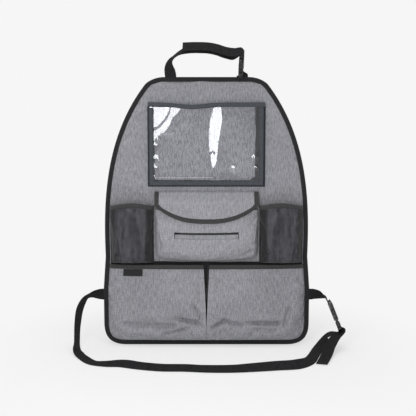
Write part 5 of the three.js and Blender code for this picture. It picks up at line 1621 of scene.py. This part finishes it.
def make_floor():
    """A pale floor that holds the organizer's shadow near it and is as plain as the background further out."""
    deselect()
    bpy.ops.mesh.primitive_plane_add(size=24, location=(0, 0, 0))
    floor = bpy.context.object
    floor.name = "studio_floor"
    for vertex in floor.data.vertices:
        vertex.co.z = FLOOR_Z * MM
    material, tree = new_material("matt_white_floor")
    place = add(tree, "ShaderNodeTexCoord").outputs["Object"]
    away = add(tree, "ShaderNodeVectorMath", {0: place, 1: (0.0, -0.1, FLOOR_Z * MM)}, operation="DISTANCE")
    far = add(tree, "ShaderNodeMapRange", {0: away.outputs["Value"], 1: 0.26, 2: 0.62, 3: 0.55, 4: 1.0},
              interpolation_type="SMOOTHSTEP")
    near = add(tree, "ShaderNodeBsdfDiffuse", {"Color": linear("#f8f8f8")})
    bright = add(tree, "ShaderNodeEmission", {"Color": linear(BACKGROUND), "Strength": 1.0})
    rays = add(tree, "ShaderNodeLightPath")
    seen = add(tree, "ShaderNodeMath", {0: rays.outputs["Is Camera Ray"],
                                        1: rays.outputs["Is Transmission Ray"]}, operation="MAXIMUM")
    share = add(tree, "ShaderNodeMath", {0: far.outputs[0], 1: seen.outputs[0]}, operation="MULTIPLY")
    shader = add(tree, "ShaderNodeMixShader", {0: share.outputs[0], 1: near.outputs[0], 2: bright.outputs[0]})
    add(tree, "ShaderNodeOutputMaterial", {"Surface": shader.outputs[0]})
    floor.data.materials.append(material)


def make_air():
    """Soft light from all round, and a plain pale background wherever the camera looks past the floor."""
    world = bpy.data.worlds.new("studio_air")
    bpy.context.scene.world = world
    world.use_nodes = True
    tree = world.node_tree
    tree.nodes.clear()
    soft = add(tree, "ShaderNodeBackground", {"Color": (1, 1, 1, 1), "Strength": 0.55})
    plain = add(tree, "ShaderNodeBackground", {"Color": linear(BACKGROUND), "Strength": 1.0})
    rays = add(tree, "ShaderNodeLightPath")
    seen = add(tree, "ShaderNodeMath", {0: rays.outputs["Is Camera Ray"],
                                        1: rays.outputs["Is Transmission Ray"]}, operation="MAXIMUM")
    shader = add(tree, "ShaderNodeMixShader", {0: seen.outputs[0], 1: soft.outputs[0], 2: plain.outputs[0]})
    add(tree, "ShaderNodeOutputWorld", {"Surface": shader.outputs[0]})


def softbox(name, place, aim, width, height, radiance):
    """A flat lamp at a place, in metres, turned to shine on aim."""
    lamp = bpy.data.lights.new(name, "AREA")
    lamp.shape = "RECTANGLE"
    lamp.size, lamp.size_y = width, height
    lamp.energy = radiance * width * height * math.pi
    holder = bpy.data.objects.new(name, lamp)
    bpy.context.scene.collection.objects.link(holder)
    holder.location = place
    holder.rotation_euler = (Vector(aim) - Vector(place)).to_track_quat("-Z", "Y").to_euler()


def make_lamps():
    """A broad bank overhead gives the soft light and the shadow on the floor. The tall strip shows as the
    long glare in the film's main fold, and the narrow one as the glare in its top left corner."""
    softbox("overhead_bank", (0.0, -0.9, 2.9), (0, -0.1, 0), width=2.6, height=2.0, radiance=2.0)
    softbox("tall_strip", (-0.43, -1.5, 0.36), (0, 0, 0.36), width=0.2, height=1.28, radiance=8.2)
    softbox("narrow_strip", (-0.27, -1.5, 0.36), (0, 0, 0.36), width=0.13, height=1.28, radiance=7.6)


def make_camera():
    """The photograph's view: a long lens, ten degrees down."""
    pitch, away = math.radians(CAMERA_PITCH), CAMERA_AWAY * MM
    target = Vector(CAMERA_AIM) * MM
    camera = bpy.data.cameras.new("camera")
    camera.lens, camera.sensor_width = CAMERA_LENS, CAMERA_SENSOR
    camera.clip_start, camera.clip_end = 0.05, 100
    holder = bpy.data.objects.new("camera", camera)
    bpy.context.scene.collection.objects.link(holder)
    holder.location = target + Vector((0, -math.cos(pitch), math.sin(pitch))) * away
    holder.rotation_euler = (math.radians(90) - pitch, 0, 0)
    bpy.context.scene.camera = holder


def gather_stitches():
    deselect()
    for row in stitches:
        row.select_set(True)
    bpy.context.view_layer.objects.active = stitches[0]
    bpy.ops.object.join()
    piece = bpy.context.object
    piece.name = piece.data.name = "seam_stitches"
    shade(piece, 60)
    dress(piece, thread, "binding_tape")


make_camera()
make_panel()
make_lining()
make_edge_tape()
make_lower("left", 0, 41)
make_lower("right", 1.9, 51)
make_centre_patch()
make_tape_and_mouth_shade()
make_label()
make_tissue()
make_flap()
make_closure()
make_mesh_pocket("left", 0, 61)
make_mesh_pocket("right", 1.9, 71)
make_tablet_film()
make_tablet_frame()
make_headrest_webbing()
make_waist_webbing()
for half_name in ("headrest_socket", "headrest_plug", "waist_socket", "waist_plug"):
    make_buckle_half(half_name)
for clip in (headrest_buckle, waist_buckle):
    make_bartack(clip, -TAB_TAIL + 1, -SOCKET_BAR / 2 - 0.6)
    make_bartack(clip, INNER_BAR_AT + 2.6, END_BAR_AT - 2)
    make_bartack(clip, END_BAR_AT + 2.4, END_BAR_AT + 8)
gather_stitches()
make_floor()
make_air()
make_lamps()

bpy.context.scene.view_settings.view_transform = "Standard"
